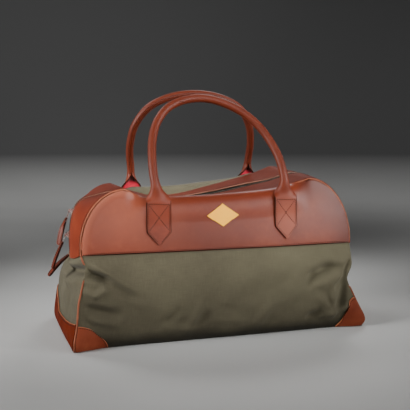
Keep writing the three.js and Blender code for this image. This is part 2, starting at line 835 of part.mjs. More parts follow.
// A point of the rolled strip: share from -0.5 to 0.5 across it, and depth below its outer face
function stripPoint(station, share, depth) {
  const turn = 2 * Math.PI * station.roll;
  const radius = station.width / turn;
  const angle = turn * share;
  const inner = radius - depth;
  const place = station.place.clone();
  place.addScaledVector(station.side, inner * Math.sin(angle));
  return place.addScaledVector(station.out, inner * Math.cos(angle) - radius);
}

function addHandles() {
  for (const panel of [FRONT, BACK]) {
    const handle = new Handle(panel);
    const outer = steps(-0.5, 0.5, STRIP_OUTER);
    const inner = steps(0.5, -0.5, STRIP_INNER);
    const rings = handle.distances().map((distance) => {
      const station = handle.station(distance);
      const ring = outer.map((share) => stripPoint(station, share, 0));
      return [...ring, ...inner.map((share) => stripPoint(station, share, station.wall))];
    });
    add(`handle_${panel.name}`, loft(rings, stripCap(outer, inner)), "leather");
    for (const end of ["left", "right"]) {
      const from = end === "left" ? LINING.from : handle.length - LINING.to;
      const to = end === "left" ? LINING.to : handle.length - LINING.from;
      const place = (distance, share) => {
        const station = handle.station(distance);
        return stripPoint(station, share, station.wall + LINING.depth);
      };
      const shares = steps(-LINING.half, LINING.half, LINING.columns);
      const places = grid(steps(from, to, LINING.rows), shares, place, false);
      add(`lining_${panel.name}_${end}`, sheet(places, LINING.thickness, 0), "lining");
    }
  }
}

// Zip sliders with their pulls, and the leather tabs at the zip's ends
function solidOf(geometry) {
  const bare = geometry.clone();
  bare.deleteAttribute("normal");
  bare.deleteAttribute("uv");
  const merged = mergeVertices(bare, 1e-4);
  const vertProperties = merged.attributes.position.array;
  const triVerts = Uint32Array.from(merged.index.array);
  return new wasm.Manifold(new wasm.Mesh({ numProp: 3, vertProperties, triVerts }));
}

function geometryOf(solid) {
  const { vertProperties, triVerts } = solid.getMesh();
  return meshGeometry(Array.from(vertProperties), Array.from(triVerts));
}

function join(geometries) {
  return geometryOf(geometries.map(solidOf).reduce((whole, piece) => whole.add(piece)));
}

// A flat outline in the X-Z plane, drawn out along Y from one place to another
function slab(shape, from, to) {
  const settings = { depth: to - from, bevelEnabled: false, curveSegments: 4 };
  const geometry = new THREE.ExtrudeGeometry(shape, settings);
  return geometry.rotateX(Math.PI / 2).translate(0, to, 0);
}

// The slider's frame: X up the zip, Y across it and Z out of the leather
function sliderGeometry() {
  const half = SLIDER_LENGTH / 2;
  const bottom = GAP + ZIP_TEETH_HEIGHT + 2 * GAP;
  const top = bottom + SLIDER_PLATE;
  const wall = ZIP_TEETH_HALF + 2 * GAP;
  const plate = new THREE.BoxGeometry(SLIDER_LENGTH, 2 * SLIDER_HALF, SLIDER_PLATE);
  plate.translate(0, 0, (bottom + top) / 2);
  const pieces = [plate];
  for (const side of [-1, 1]) {
    const cheek = new THREE.BoxGeometry(SLIDER_LENGTH, SLIDER_HALF - wall, top - LEATHER_IN);
    cheek.translate(0, (side * (wall + SLIDER_HALF)) / 2, (top + LEATHER_IN) / 2);
    pieces.push(cheek);
    const foot = half - EAR_INSET;
    const ear = outline([[-foot, top - EAR_SINK], [foot, top - EAR_SINK], [EAR_RADIUS, PIN_HEIGHT]]);
    ear.absarc(0, PIN_HEIGHT, EAR_RADIUS, 0, Math.PI, false);
    ear.closePath();
    const outer = side * SLIDER_HALF;
    const inner = side * (SLIDER_HALF - EAR_THICKNESS);
    pieces.push(slab(ear, Math.min(outer, inner), Math.max(outer, inner)));
  }
  const pin = new THREE.CylinderGeometry(PIN_RADIUS, PIN_RADIUS, 2 * SLIDER_HALF - EAR_THICKNESS, 8);
  pieces.push(pin.translate(0, 0, PIN_HEIGHT));
  return join(pieces);
}

// The puller hangs down -Z from its eye on the pin
function pullerGeometry(lane) {
  const half = PULLER_THICKNESS / 2;
  const turn = Math.asin(half / EYE_RADIUS);
  const shape = new THREE.Shape();
  shape.moveTo(half, -PULLER_LENGTH);
  shape.lineTo(half, -EYE_RADIUS * Math.cos(turn));
  shape.absarc(0, 0, EYE_RADIUS, turn - Math.PI / 2, (3 * Math.PI) / 2 - turn, false);
  shape.lineTo(-half, -PULLER_LENGTH);
  shape.closePath();
  const eye = new THREE.Path();
  eye.absarc(0, 0, PIN_RADIUS + GAP, 0, 2 * Math.PI, true);
  shape.holes.push(eye);
  const from = lane > 0 ? LANE_GAP : -LANE_GAP - PULLER_WIDTH;
  return slab(shape, from, from + PULLER_WIDTH);
}

// A strap end with one round end, hanging down -Z from its square end
function strapGeometry(width, length, thickness) {
  const half = width / 2;
  const shape = outline([[half, -length + half], [half, 0], [-half, 0], [-half, -length + half]]);
  shape.absarc(0, -length + half, half, Math.PI, 2 * Math.PI, false);
  shape.closePath();
  return slab(shape, -thickness / 2, thickness / 2).rotateZ(Math.PI / 2);
}

// The pull tab is split at its top, where it grips the puller
function pullTabGeometry(lane) {
  const tab = strapGeometry(TAB_WIDTH, TAB_LENGTH, TAB_THICKNESS);
  tab.translate(0, lane * (LANE_GAP + TAB_WIDTH / 2), -PULLER_LENGTH + TAB_GRIP);
  const slotWidth = 2 * (PULLER_WIDTH + GAP);
  const slot = new THREE.BoxGeometry(PULLER_THICKNESS + 2 * GAP, slotWidth, TAB_GRIP + 2 * GAP);
  slot.translate(0, lane * LANE_GAP, -PULLER_LENGTH + TAB_GRIP / 2);
  return geometryOf(solidOf(tab).subtract(solidOf(slot)));
}

// The zip's middle line on the left end at a height, with its direction up the zip
function zipFrame(height) {
  const c = search(-1, -ARCH_SHARE, (column) => topStation(column).middle.z < height);
  const place = topStation(c).middle;
  const before = topStation(c - ZIP_STEP).middle;
  const up = topStation(c + ZIP_STEP).middle.sub(before).normalize();
  const y = new THREE.Vector3(0, 1, 0);
  const out = new THREE.Vector3().crossVectors(up, y).normalize();
  return { place, up, y, out };
}

function addPulls() {
  for (const row of PULL_ROWS) {
    const { place, up, y, out } = zipFrame(row.height);
    const seat = new THREE.Group();
    seat.quaternion.setFromRotationMatrix(new THREE.Matrix4().makeBasis(up, y, out));
    seat.position.copy(place);
    bag.add(seat);
    add(`slider_${row.name}`, sliderGeometry(), "metal", seat);
    const pull = new THREE.Group();
    pull.position.copy(place).addScaledVector(out, PIN_HEIGHT);
    pull.rotation.y = radians(row.lean);
    bag.add(pull);
    add(`puller_${row.name}`, pullerGeometry(row.lane), "metal", pull);
    add(`pull_tab_${row.name}`, pullTabGeometry(row.lane), "leather", pull);
  }
}

function addZipEnds() {
  for (const end of [-1, 1]) {
    const seat = new THREE.Group();
    const { middle } = endStation(end, SEAM_HEIGHT);
    seat.position.set(middle.x + end * ZIP_END.standOff, 0, middle.z + ZIP_END.rise);
    seat.rotation.y = -end * radians(ZIP_END.slope);
    bag.add(seat);
    const strap = strapGeometry(ZIP_END.width, ZIP_END.length, ZIP_END.thickness);
    add(`zip_end_${end < 0 ? "left" : "right"}`, strap, "leather", seat);
  }
}

addPanels();
addEnds();
addZip();
addBase();
addPiping();
addPatches();
addLabel();
addHandles();
addPulls();
addZipEnds();

bag.position.set(FRAME_SHIFT.x, FRAME_SHIFT.y, 0);

export default bag;
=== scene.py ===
# %% [markdown]
# # A canvas and leather travel bag
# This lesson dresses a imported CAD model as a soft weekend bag: olive canvas below, cognac
# leather above, pale piping in the seams, a long zip and two rolled handles.
# The CAD model comes in as a fixed frame in metres, and everything made here sits in its place.

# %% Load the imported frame
import math

import bpy
import numpy as np
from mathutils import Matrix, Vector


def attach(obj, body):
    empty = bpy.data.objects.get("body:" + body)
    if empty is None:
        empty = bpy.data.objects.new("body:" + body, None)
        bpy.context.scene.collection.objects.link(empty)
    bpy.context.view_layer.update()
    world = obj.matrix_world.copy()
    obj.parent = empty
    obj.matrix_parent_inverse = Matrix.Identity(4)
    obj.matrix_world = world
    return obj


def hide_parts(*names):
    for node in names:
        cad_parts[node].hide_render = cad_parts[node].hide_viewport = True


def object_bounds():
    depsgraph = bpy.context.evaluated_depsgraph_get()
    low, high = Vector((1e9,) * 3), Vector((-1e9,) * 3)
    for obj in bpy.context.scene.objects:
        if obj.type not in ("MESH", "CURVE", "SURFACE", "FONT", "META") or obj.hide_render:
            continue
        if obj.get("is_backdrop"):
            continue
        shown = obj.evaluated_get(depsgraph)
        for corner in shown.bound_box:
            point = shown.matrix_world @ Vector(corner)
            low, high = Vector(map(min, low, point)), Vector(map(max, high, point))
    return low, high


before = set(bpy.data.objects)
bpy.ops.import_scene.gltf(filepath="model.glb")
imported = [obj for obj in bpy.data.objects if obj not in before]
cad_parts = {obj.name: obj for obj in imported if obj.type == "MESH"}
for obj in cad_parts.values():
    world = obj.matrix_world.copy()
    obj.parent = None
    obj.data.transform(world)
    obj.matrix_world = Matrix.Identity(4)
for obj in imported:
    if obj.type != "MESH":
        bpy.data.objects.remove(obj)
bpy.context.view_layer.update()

# %% [markdown]
# ## Curves through tables
# A sewn bag has no straight lines: each seam wanders. A short table of places, read off at a few
# heights, and a smooth curve through them is easier to adjust than a sculpted mesh. Sizes here are
# in millimetres, as a bag maker would measure them, and turn into metres when a mesh is made.

# %% Tables and curves
MM = 0.001
SHIFT = np.array([-1.5, 0.0, 0.0])  # from the maker's middle line to the frame's origin
PAST_END = 1000.0  # beyond the last row of every table


def table(names, rows):
    """Rows of plain values become one array for each named column."""
    return dict(zip(names, np.array(rows, float).T))


def named_rows(names, rows):
    """Rows of mixed values become one dictionary each."""
    return [dict(zip(names, row)) for row in rows]


def cubic(first, last, start, end, t):
    """A smooth way from one value to another, with a slope at each of them."""
    rise = last - first
    return first + t * (start + t * (3 * rise - 2 * start - end + t * (start + end - 2 * rise)))


def through(rows, key, name):
    """A smooth curve through one column of a table, held level past its ends."""
    at, value = rows[key], rows[name]
    slope = np.empty_like(value)
    slope[1:-1] = (value[2:] - value[:-2]) / (at[2:] - at[:-2])
    slope[0] = (value[1] - value[0]) / (at[1] - at[0])
    slope[-1] = (value[-1] - value[-2]) / (at[-1] - at[-2])

    def curve(place):
        p = np.clip(place, at[0], at[-1])
        i = np.clip(np.searchsorted(at, p) - 1, 0, len(at) - 2)
        span = at[i + 1] - at[i]
        return cubic(value[i], value[i + 1], slope[i] * span, slope[i + 1] * span, (p - at[i]) / span)

    return curve


def curves(rows, key):
    """A curve for each column of a table, read by the column that key names."""
    return {name: through(rows, key, name) for name in rows}


def lerp(a, b, t):
    """The value at a share t of the way from a to b."""
    return a + (b - a) * t


def smooth(low, high, value):
    """0 at low, 1 at high and a soft step between, whichever of the two is larger."""
    t = np.clip((value - low) / (high - low), 0, 1)
    return t * t * (3 - 2 * t)


EDGE = curves(table(
    ["height", "frontLeft", "frontRight", "backLeft", "backRight", "crownLeft", "crownRight", "sag"],
    [
        [0, 255, 263, 261, 258, 0, 0, 0],
        [15, 255, 269, 263, 262, 2, 2, 0],
        [40, 250, 257, 260, 255, 4, 4, 1],
        [60, 248, 247, 257, 249, 5, 5, 4],
        [80, 246, 237, 254, 245, 8, 6, 8],
        [92, 243, 234, 251, 243, 10, 7, 10],
        [114, 238, 243, 241, 244, 15, 9, 15],
        [130, 234, 242, 232, 244, 18, 9, 17],
        [155, 241, 239, 222, 244, 13, 6, 18],
        [165, 241, 239, 222, 244, 12, 5, 17],
    ],
), "height")
DEPTH = curves(table(
    ["height", "edge", "bulge"],
    [
        [0, 107, 1],
        [12, 113, 3],
        [40, 117, 7],
        [90, 117, 9],
        [155, 113, 8],
        [210, 106, 5],
        [262, 97, 2],
        [282, 94, 0],
    ],
), "height")
TOP = curves(table(
    ["x", "frontCrest", "frontY", "frontZ", "zip", "backY", "backZ", "backCrest"],
    [
        [-166, 258, 98, 258, 245, 98, 255, 255],
        [-125, 242, 86, 238, 235, 86, 240, 250],
        [-85, 243, 80, 234, 227, 78, 231, 249],
        [-30, 244, 80, 236, 233, 76, 234, 251],
        [30, 247, 80, 242, 242, 77, 247, 257],
        [85, 250, 83, 249, 253, 82, 260, 263],
        [125, 255, 90, 258, 261, 89, 270, 272],
        [163, 270, 97, 270, 273, 95, 284, 284],
    ],
), "x")
print("curves", len(EDGE) + len(DEPTH) + len(TOP))

# %% [markdown]
# ## Folds in the canvas
# Canvas that is packed and sat on keeps creases: a groove with a soft ridge on each side. Cloth
# simulation would give folds, but not these folds, so each one that shows is a row of a table,
# with its place, its angle, its length and its depth, and a ridge is a fold of less than no depth. A
# few waves keep the rest from being flat.

# %% Folds and waves
SEAM_HEIGHT = 155  # lower edge of the leather
FOLDS = named_rows(["panel", "across", "height", "angle", "length", "width", "depth"], [
    ["front", -220, 121, -20, 48, 8, 12],
    ["front", -184, 99, -33, 72, 7, 5],
    ["front", -188, 117, -33, 94, 6, -4.5],
    ["front", -231, 95, -25, 30, 6, -5],
    ["front", -212, 95, 28, 26, 6, -5],
    ["front", -196, 84, -20, 80, 12, -2],
    ["front", -211, 63, -16, 56, 10, 9],
    ["front", -203, 45, -18, 46, 8, -4],
    ["front", -232, 49, -48, 40, 7, 3],
    ["front", -165, 72, -40, 46, 9, 2.5],
    ["front", -95, 49, 42, 36, 8, 3],
    ["front", -53, 48, 64, 52, 8, -3],
    ["front", -42, 41, 40, 34, 8, 3],
    ["front", -78, 24, -6, 64, 9, -3],
    ["front", 10, 32, -8, 64, 9, -3],
    ["front", 4, 54, -12, 32, 7, 2],
    ["front", 70, 38, 50, 58, 11, -4],
    ["front", 66, 82, 16, 100, 20, 3],
    ["front", 118, 46, 34, 60, 12, 2.5],
    ["front", 168, 30, 24, 34, 8, 5],
    ["front", 160, 94, 56, 34, 9, 3],
    ["front", 177, 106, 20, 60, 12, 7.5],
    ["front", 204, 110, 2, 50, 9, 5],
    ["front", 194, 90, 14, 60, 13, -5],
    ["front", 232, 110, 66, 30, 5, 5],
    ["front", 219, 87, 46, 36, 6, 4],
    ["front", 222, 60, 80, 62, 10, 7.5],
    ["front", 203, 54, 92, 56, 7, -4],
    ["front", 188, 46, -52, 54, 8, -6],
    ["front", 216, 34, 22, 44, 8, -6],
    ["front", 176, 22, -30, 50, 9, 3],
    ["front", -130, 38, -10, 100, 20, 3],
    ["left", -58, 121, -9, 130, 9, 15],
    ["left", 50, 115, 3, 110, 9, 8],
    ["left", -50, 140, -9, 130, 10, -5],
    ["left", -50, 103, -9, 120, 12, -4],
    ["left", -60, 70, 30, 80, 14, 3],
    ["left", 30, 86, -20, 90, 16, 3],
    ["right", -20, 105, -4, 200, 15, 5],
    ["right", 20, 72, 14, 100, 16, 3],
])
WAVES = named_rows(["along", "up", "start", "size"], [
    [0.021, 0.047, 0.4, 0.9],
    [0.043, -0.036, 2.1, 0.7],
    [0.071, 0.059, 4.4, 0.3],
    [-0.098, 0.083, 1.2, 0.2],
    [0.17, 0.09, 0.7, 0.16],
    [-0.13, 0.17, 2.6, 0.16],
    [0.21, -0.12, 5.1, 0.1],
    [0.09, 0.24, 3.3, 0.13],
    [-0.26, -0.05, 1.9, 0.08],
])
FOLD_RIDGE = 0.7  # height of a fold's ridges
FOLD_NARROW = 0.8  # how fast a fold dies out sideways
FOLD_FLOOR = 12  # folds die out below this height
FOLD_TOP = 140  # and from this height up to the seam
FOLD_EDGE = 40  # power that keeps them off the side seams


def folds(panel, across, height):
    """How far the folds of one panel push its surface outwards."""
    push = np.zeros(np.broadcast(across, height).shape)
    for fold in FOLDS:
        if fold["panel"] != panel:
            continue
        turn = math.radians(fold["angle"])
        dx = across - fold["across"]
        dz = height - fold["height"]
        along = (dx * math.cos(turn) + dz * math.sin(turn)) / (fold["length"] / 2)
        off = (dz * math.cos(turn) - dx * math.sin(turn)) / fold["width"]
        groove = (off**2 * FOLD_RIDGE - 1) * np.exp(-(off**2) * FOLD_NARROW)
        push += fold["depth"] * groove * np.exp(-(along**4))
    for wave in WAVES:
        push += wave["size"] * np.sin(wave["along"] * across + wave["up"] * height + wave["start"])
    return push


def fold_fade(z):
    """1 where folds have their full depth, and 0 at the floor and at the leather."""
    return smooth(0, FOLD_FLOOR, z) * smooth(SEAM_HEIGHT, FOLD_TOP, z)


print("folds", len(FOLDS))

# %% [markdown]
# ## The front and the back panel
# The front and the back are panels sewn to one long band. A panel is a surface over columns: each
# column stands up from the floor, bulges and folds on the way, and ends at the seam of the top, where
# the middle ones roll over. A surface that is worked out can be asked for any place and any normal,
# so the leather, the tabs and the stitches can all lie on it. A sculpted mesh could not answer that.

# %% Panels
ARCH_FOOT = 165  # where the round top corners begin
ARCH_WIDTHS = {"front": (75, 75), "back": (65, 75)}  # at the left and the right end
ARCH_SHARE = 0.55  # columns with |c| above this share belong to the round corners
TOP_ENDS = (166, 163)  # where the top table ends, at the left and the right
TOP_JOIN = 40  # over this length the top lines come back to the panel's own depth
ROLL_START = 0.55  # share of the upper panel that stands before it rolls over
ROLL_LENGTH = 50  # of the leather that rolls over
ROLL_FADE = 45  # the roll dies out over this length before a round corner
ROLL_NEAR = 0.02  # shares of the way over, at which the two control places of its curve are
ROLL_FAR = 0.45
ROLL_CREST = 0.6  # share of the roll at which it is highest
ROLL_INSET = 1.4  # a seam's inset grows by this where the panel rolls
CORNER_FLARE = {"front": (13, 8), "back": (0, 0)}  # of the stiff lower corners, left and right
FLARE_TOP = 50  # height at which a corner's flare has died out
FLARE_START = 0.78  # share of the half width at which it begins
AT_HIGHEST = 0.9  # share of the upper panel below which it is still rising
BULGE_POWER = 3  # a larger one makes a panel's bulge flatter in the middle
SLOPE_STEP = 0.5  # to each side of a place, to measure its slope
SEAM_INSET = 1.9  # from a seam's line to the edge of each panel
SEAM_CLOSED = 0.2  # and where the canvas hangs over the piping
OVERHANG = {  # heights between which the canvas begins to hang over the piping, and ends
    "frontLeft": [(113, 119), (142, 134)],
    "backLeft": [(60, 74), (156, 150)],
    "frontRight": [(74, 86), (156, 150)],
    "backRight": [(74, 86), (156, 150)],
}
HALVINGS = 30  # of the span in which a height is looked for


def vector(x, y, z):
    """Three numbers, or arrays of them, as places."""
    return np.stack(np.broadcast_arrays(x, y, z), -1).astype(float)


def unit(v):
    return v / np.linalg.norm(v, axis=-1, keepdims=True)


def top_place(c):
    """Where a column between the round corners reads the top table."""
    return np.where(c < 0, *TOP_ENDS) * np.clip(c / ARCH_SHARE, -1, 1)


def bezier(a, b, c, d, t):
    """A curve from a to d that leaves towards b and comes in from c."""
    r = 1 - t
    return a * r**3 + 3 * b * r * r * t + 3 * c * r * t * t + d * t**3


def hung_over(name, end, z):
    """1 where the canvas hangs over the piping of a side seam, and 0 where the piping shows."""
    def share(begin, stop):
        return smooth(*begin, z) * smooth(*stop, z)

    return np.where(end < 0, share(*OVERHANG[name + "Left"]), share(*OVERHANG[name + "Right"]))


def seam_inset(name, end, z):
    return lerp(SEAM_INSET, SEAM_CLOSED, hung_over(name, end, z))


class Panel:
    """The front or the back panel as a surface over columns c from -1 to 1."""

    def __init__(self, name):
        self.name = name
        self.facing = -1 if name == "front" else 1

    def edge(self, end, z):
        """Half the panel's length at a height, on one side."""
        return np.where(end < 0, EDGE[self.name + "Left"](z), EDGE[self.name + "Right"](z))

    def arch_width(self, end):
        return np.where(end < 0, *ARCH_WIDTHS[self.name])

    def flare(self, end, z):
        """How far a stiff lower corner stands out of the panel."""
        return np.where(end < 0, *CORNER_FLARE[self.name]) * smooth(FLARE_TOP, 0, z)

    def depth(self, x, z):
        """How far the standing panel is from the bag's middle."""
        share = np.minimum(np.abs(x) / self.edge(x, z), 1)
        plain = DEPTH["edge"](z) + DEPTH["bulge"](z) * (1 - share**BULGE_POWER)
        plain += self.flare(x, z) * smooth(FLARE_START, 1, share)
        return plain + folds(self.name, x, z) * fold_fade(z) * (1 - share**FOLD_EDGE)

    def normal(self, x, z):
        step = SLOPE_STEP
        slope_x = (self.depth(x + step, z) - self.depth(x - step, z)) / (2 * step)
        slope_z = (self.depth(x, z + step) - self.depth(x, z - step)) / (2 * step)
        return unit(vector(-slope_x, self.facing, -slope_z))

    def column(self, c, inset):
        """Where a column ends at the top, with its crest and how far it rolls over there."""
        end = np.where(c < 0, -1.0, 1.0)
        half = self.edge(end, SEAM_HEIGHT)
        arch = self.arch_width(end)
        middle = half - arch
        share = np.abs(c)
        flat = share <= ARCH_SHARE
        flat_x = end * middle * share / ARCH_SHARE
        turn = np.clip((1 - share) / (1 - ARCH_SHARE), 0, 1) * math.pi / 2
        crown = TOP[self.name + "Z"](end * PAST_END)
        round_x = end * (middle + (arch - inset) * np.cos(turn))
        round_z = ARCH_FOOT + (crown - ARCH_FOOT - inset) * np.sin(turn)
        read_at = top_place(c)
        off = self.depth(end * middle, crown) - TOP[self.name + "Y"](end * PAST_END)
        flat_y = TOP[self.name + "Y"](read_at) + off * smooth(middle - TOP_JOIN, middle, np.abs(flat_x))
        return {
            "half": half,
            "x": np.where(flat, flat_x, round_x),
            "y": np.where(flat, flat_y, self.depth(round_x, round_z)),
            "z": np.where(flat, TOP[self.name + "Z"](read_at), round_z),
            "crest": np.where(flat, TOP[self.name + "Crest"](read_at), round_z),
            "roll": np.where(flat, smooth(middle, middle - ROLL_FADE, np.abs(flat_x)), 0.0),
        }

    def lower(self, c, z):
        """A place below the leather, by its column and its height."""
        column = self.column(c, 0)
        x = column["x"] / column["half"] * (self.edge(c, z) - seam_inset(self.name, c, z))
        return vector(x, self.facing * self.depth(x, z), z)

    def upper(self, c, t, inset=SEAM_INSET):
        """A place above the lower edge of the leather, by its column and its share of the way up."""
        column = self.column(c, inset)
        x, roll, top_y, top_z = column["x"], column["roll"], column["y"], column["z"]
        start_z = SEAM_HEIGHT + ROLL_START * (np.maximum(column["crest"], top_z) - SEAM_HEIGHT)
        stand_z = lerp(SEAM_HEIGHT, start_z, np.minimum(t / ROLL_START, 1))
        seam_gap = lerp(inset, min(inset, SEAM_CLOSED), roll)
        rolled = np.where(np.abs(c) <= ARCH_SHARE, 1 - ROLL_INSET * seam_gap / ROLL_LENGTH, 1)
        s = rolled * np.maximum(t - ROLL_START, 0) / (1 - ROLL_START)
        start_y = self.depth(x, start_z)
        early = (1 - ROLL_CREST) ** 3
        late = ROLL_CREST**3
        high = (column["crest"] - early * start_z - late * top_z) / (1 - early - late)
        near_y = lerp(start_y, top_y, lerp(1 / 3, ROLL_NEAR, roll))
        far_y = lerp(start_y, top_y, lerp(2 / 3, ROLL_FAR, roll))
        near_z = lerp(lerp(start_z, top_z, 1 / 3), high, roll)
        far_z = lerp(lerp(start_z, top_z, 2 / 3), high, roll)
        standing = t <= ROLL_START
        y = np.where(standing, self.depth(x, stand_z), bezier(start_y, near_y, far_y, top_y, s))
        z = np.where(standing, stand_z, bezier(start_z, near_z, far_z, top_z, s))
        return vector(x, self.facing * y, z)

    def seam(self, c):
        return self.upper(c, np.ones_like(c), 0)

    def at(self, x, z):
        """A place on the upper panel given by its X and height, below the crest."""
        c = ARCH_SHARE * x / (self.edge(x, SEAM_HEIGHT) - self.arch_width(x))
        low = np.zeros(np.broadcast(x, z).shape)
        high = low + AT_HIGHEST
        for _ in range(HALVINGS):
            middle = (low + high) / 2
            below = self.upper(c, middle)[..., 2] < z
            low = np.where(below, middle, low)
            high = np.where(below, high, middle)
        return self.upper(c, low)


FRONT = Panel("front")
BACK = Panel("back")
PANELS = {"front": FRONT, "back": BACK}
print("front seam over the middle at", FRONT.seam(np.array([0.0])).round(1))

# %% [markdown]
# ## The band round the ends and the top
# The band runs up the left end, over the top and down the right end, with the zip in its middle. A
# station is one place on its way: a place on the front seam, one on the zip and one on the back seam,
# with a curve through the three. The zip stands out in the round corners and hangs in the left one.

# %% Stations of the band
ARCH_CROWN = 6  # how far the zip stands out of the round corners, midway up
CORNER_BLEND = {"crown": 0.6, "sag": 0.55, "zip": 0.5}  # shares of a round corner
ZIP_HANG = {"depth": 13, "from": 0.35, "to": 0.75}  # the zip sags in a share of the upper left corner


def end_station(end, z):
    """The band at a height of an end: its front seam, its middle and its back seam."""
    side = "Left" if end < 0 else "Right"
    front = vector(end * EDGE["front" + side](z), -DEPTH["edge"](z) - FRONT.flare(end, z), z)
    back = vector(end * EDGE["back" + side](z), DEPTH["edge"](z), z)
    middle = (front + back) / 2
    middle[..., 0] += end * EDGE["crown" + side](z)
    middle[..., 2] -= EDGE["sag"](z)
    return front, middle, back


def top_station(c):
    """The same three lines over the top, for columns of the panels."""
    front, back = FRONT.seam(c), BACK.seam(c)
    middle = (front + back) / 2
    end = np.where(c < 0, -1.0, 1.0)
    arch = np.clip((np.abs(c) - ARCH_SHARE) / (1 - ARCH_SHARE), 0, 1)
    turn = (1 - arch) * math.pi / 2
    half = (FRONT.edge(end, ARCH_FOOT) + BACK.edge(end, ARCH_FOOT)) / 2
    crowns = [abs(end_station(e, ARCH_FOOT)[1][0]) for e in (-1, 1)]
    crown = np.where(end < 0, crowns[0], crowns[1]) - half
    out = crown * smooth(0, CORNER_BLEND["crown"], arch) + ARCH_CROWN * np.sin(2 * turn)
    start = end * ARCH_SHARE
    start_z = (FRONT.seam(start)[..., 2] + BACK.seam(start)[..., 2]) / 2
    lift = (TOP["zip"](end * PAST_END) - start_z) * smooth(CORNER_BLEND["zip"], 0, arch)
    sag = EDGE["sag"](ARCH_FOOT) * smooth(CORNER_BLEND["sag"], 1, arch)
    hang = smooth(0, ZIP_HANG["from"], arch) * smooth(ZIP_HANG["to"], ZIP_HANG["from"], arch)
    hang *= np.where(end < 0, ZIP_HANG["depth"], 0)
    round_z = middle[..., 2] + out * np.sin(turn) - sag + lift - hang
    middle[..., 2] = np.where(arch > 0, round_z, TOP["zip"](top_place(c)))
    middle[..., 0] += np.where(arch > 0, end * out * np.cos(turn), 0)
    return front, middle, back


def across(station, w):
    """A place on the band: w is -1 at the front seam, 0 at the zip and 1 at the back seam."""
    front, middle, back = station
    w = np.asarray(w)[..., None]
    return front * w * (w - 1) / 2 + middle * (1 - w * w) + back * w * (w + 1) / 2


def half_width(station):
    """Half the distance from the front seam to the back seam."""
    return (station[2][..., 1] - station[0][..., 1]) / 2


def end_place(end, z, share):
    """A place on an end between its two seams, with its folds."""
    station = end_station(end, z)
    inset = np.where(share < 0, seam_inset("front", end, z), seam_inset("back", end, z))
    w = share * (1 - inset / half_width(station))
    place = across(station, w)
    push = folds("left" if end < 0 else "right", place[..., 1], place[..., 2])
    place[..., 0] += end * push * fold_fade(z) * (1 - w**FOLD_EDGE)
    return place


def columns(corner, middle):
    """Columns of a panel, with a number of steps for each round corner and for the middle."""
    inner = np.linspace(-ARCH_SHARE, ARCH_SHARE, middle + 1)[1:-1]
    left = np.linspace(-1, -ARCH_SHARE, corner + 1)
    return np.concatenate([left, inner, -left[::-1]])


print("zip over the middle at", top_station(np.array([0.0]))[1].round(1))

# %% [markdown]
# ## Sheets with a thickness
# Leather and canvas are sheets, so a piece is a grid of places, pushed out along its normals to
# make an outer and an inner face and closed by a rim. A Solidify modifier would do much the same,
# but building it here gives the cut edge a finish of its own and keeps the cloth's flat measure,
# which the weave follows. A small bevel rounds the cut edge.

# %% Mesh helpers
EDGE_ROUND = 0.6
EDGE_STEPS = 2
SHARP_ANGLE = math.radians(50)
RELAX_SHARE = 0.5  # of the way to the middle of its neighbours, that a place goes in one round


def normals_of(grid):
    """Outward directions at the places of a grid."""
    return unit(np.cross(np.gradient(grid, axis=0), np.gradient(grid, axis=1)))


def relax(grid, rounds):
    """Softens kinks inside a grid and keeps its border."""
    soft = grid.copy()
    for _ in range(rounds):
        around = soft[:-2, 1:-1] + soft[2:, 1:-1] + soft[1:-1, :-2] + soft[1:-1, 2:]
        soft[1:-1, 1:-1] = lerp(soft[1:-1, 1:-1], around / 4, RELAX_SHARE)
    return soft


def lengths(line):
    """How far along a line each of its places is."""
    return np.concatenate([[0], np.cumsum(np.linalg.norm(np.diff(line, axis=0), axis=-1))])


def read_along(at, values, distance):
    """Places or directions at some distance, from those that are known at others."""
    return np.stack([np.interp(distance, at, values[:, k]) for k in range(3)], -1)


def make_object(name, points, faces, finishes, kinds=None, flat=None):
    """A smooth mesh object from places in millimetres."""
    mesh = bpy.data.meshes.new(name)
    mesh.from_pydata(((points + SHIFT) * MM).tolist(), [], [list(map(int, f)) for f in faces])
    for finish in finishes:
        mesh.materials.append(finish)
    mesh.polygons.foreach_set("use_smooth", [True] * len(mesh.polygons))
    if kinds is not None:
        mesh.polygons.foreach_set("material_index", np.asarray(kinds, np.int32))
    if flat is not None:
        attribute = mesh.attributes.new("flat_mm", "FLOAT_VECTOR", "POINT")
        attribute.data.foreach_set("vector", flat.astype(np.float32).ravel())
    mesh.update()
    piece = bpy.data.objects.new(name, mesh)
    bpy.context.scene.collection.objects.link(piece)
    return piece


def round_edges(piece, width=EDGE_ROUND, segments=EDGE_STEPS):
    """A bevel on the sharp edges of a piece."""
    bevel = piece.modifiers.new("rounded edge", "BEVEL")
    bevel.width = width * MM
    bevel.segments = segments
    bevel.limit_method = "ANGLE"
    bevel.angle_limit = SHARP_ANGLE
    return piece


def sew_on(piece, slot, *nodes, body="bag"):
    """The piece stands for its CAD nodes and moves with their body."""
    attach(piece, body)
    if nodes:
        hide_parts(*nodes)


SIDES = ("low", "last", "high", "first")


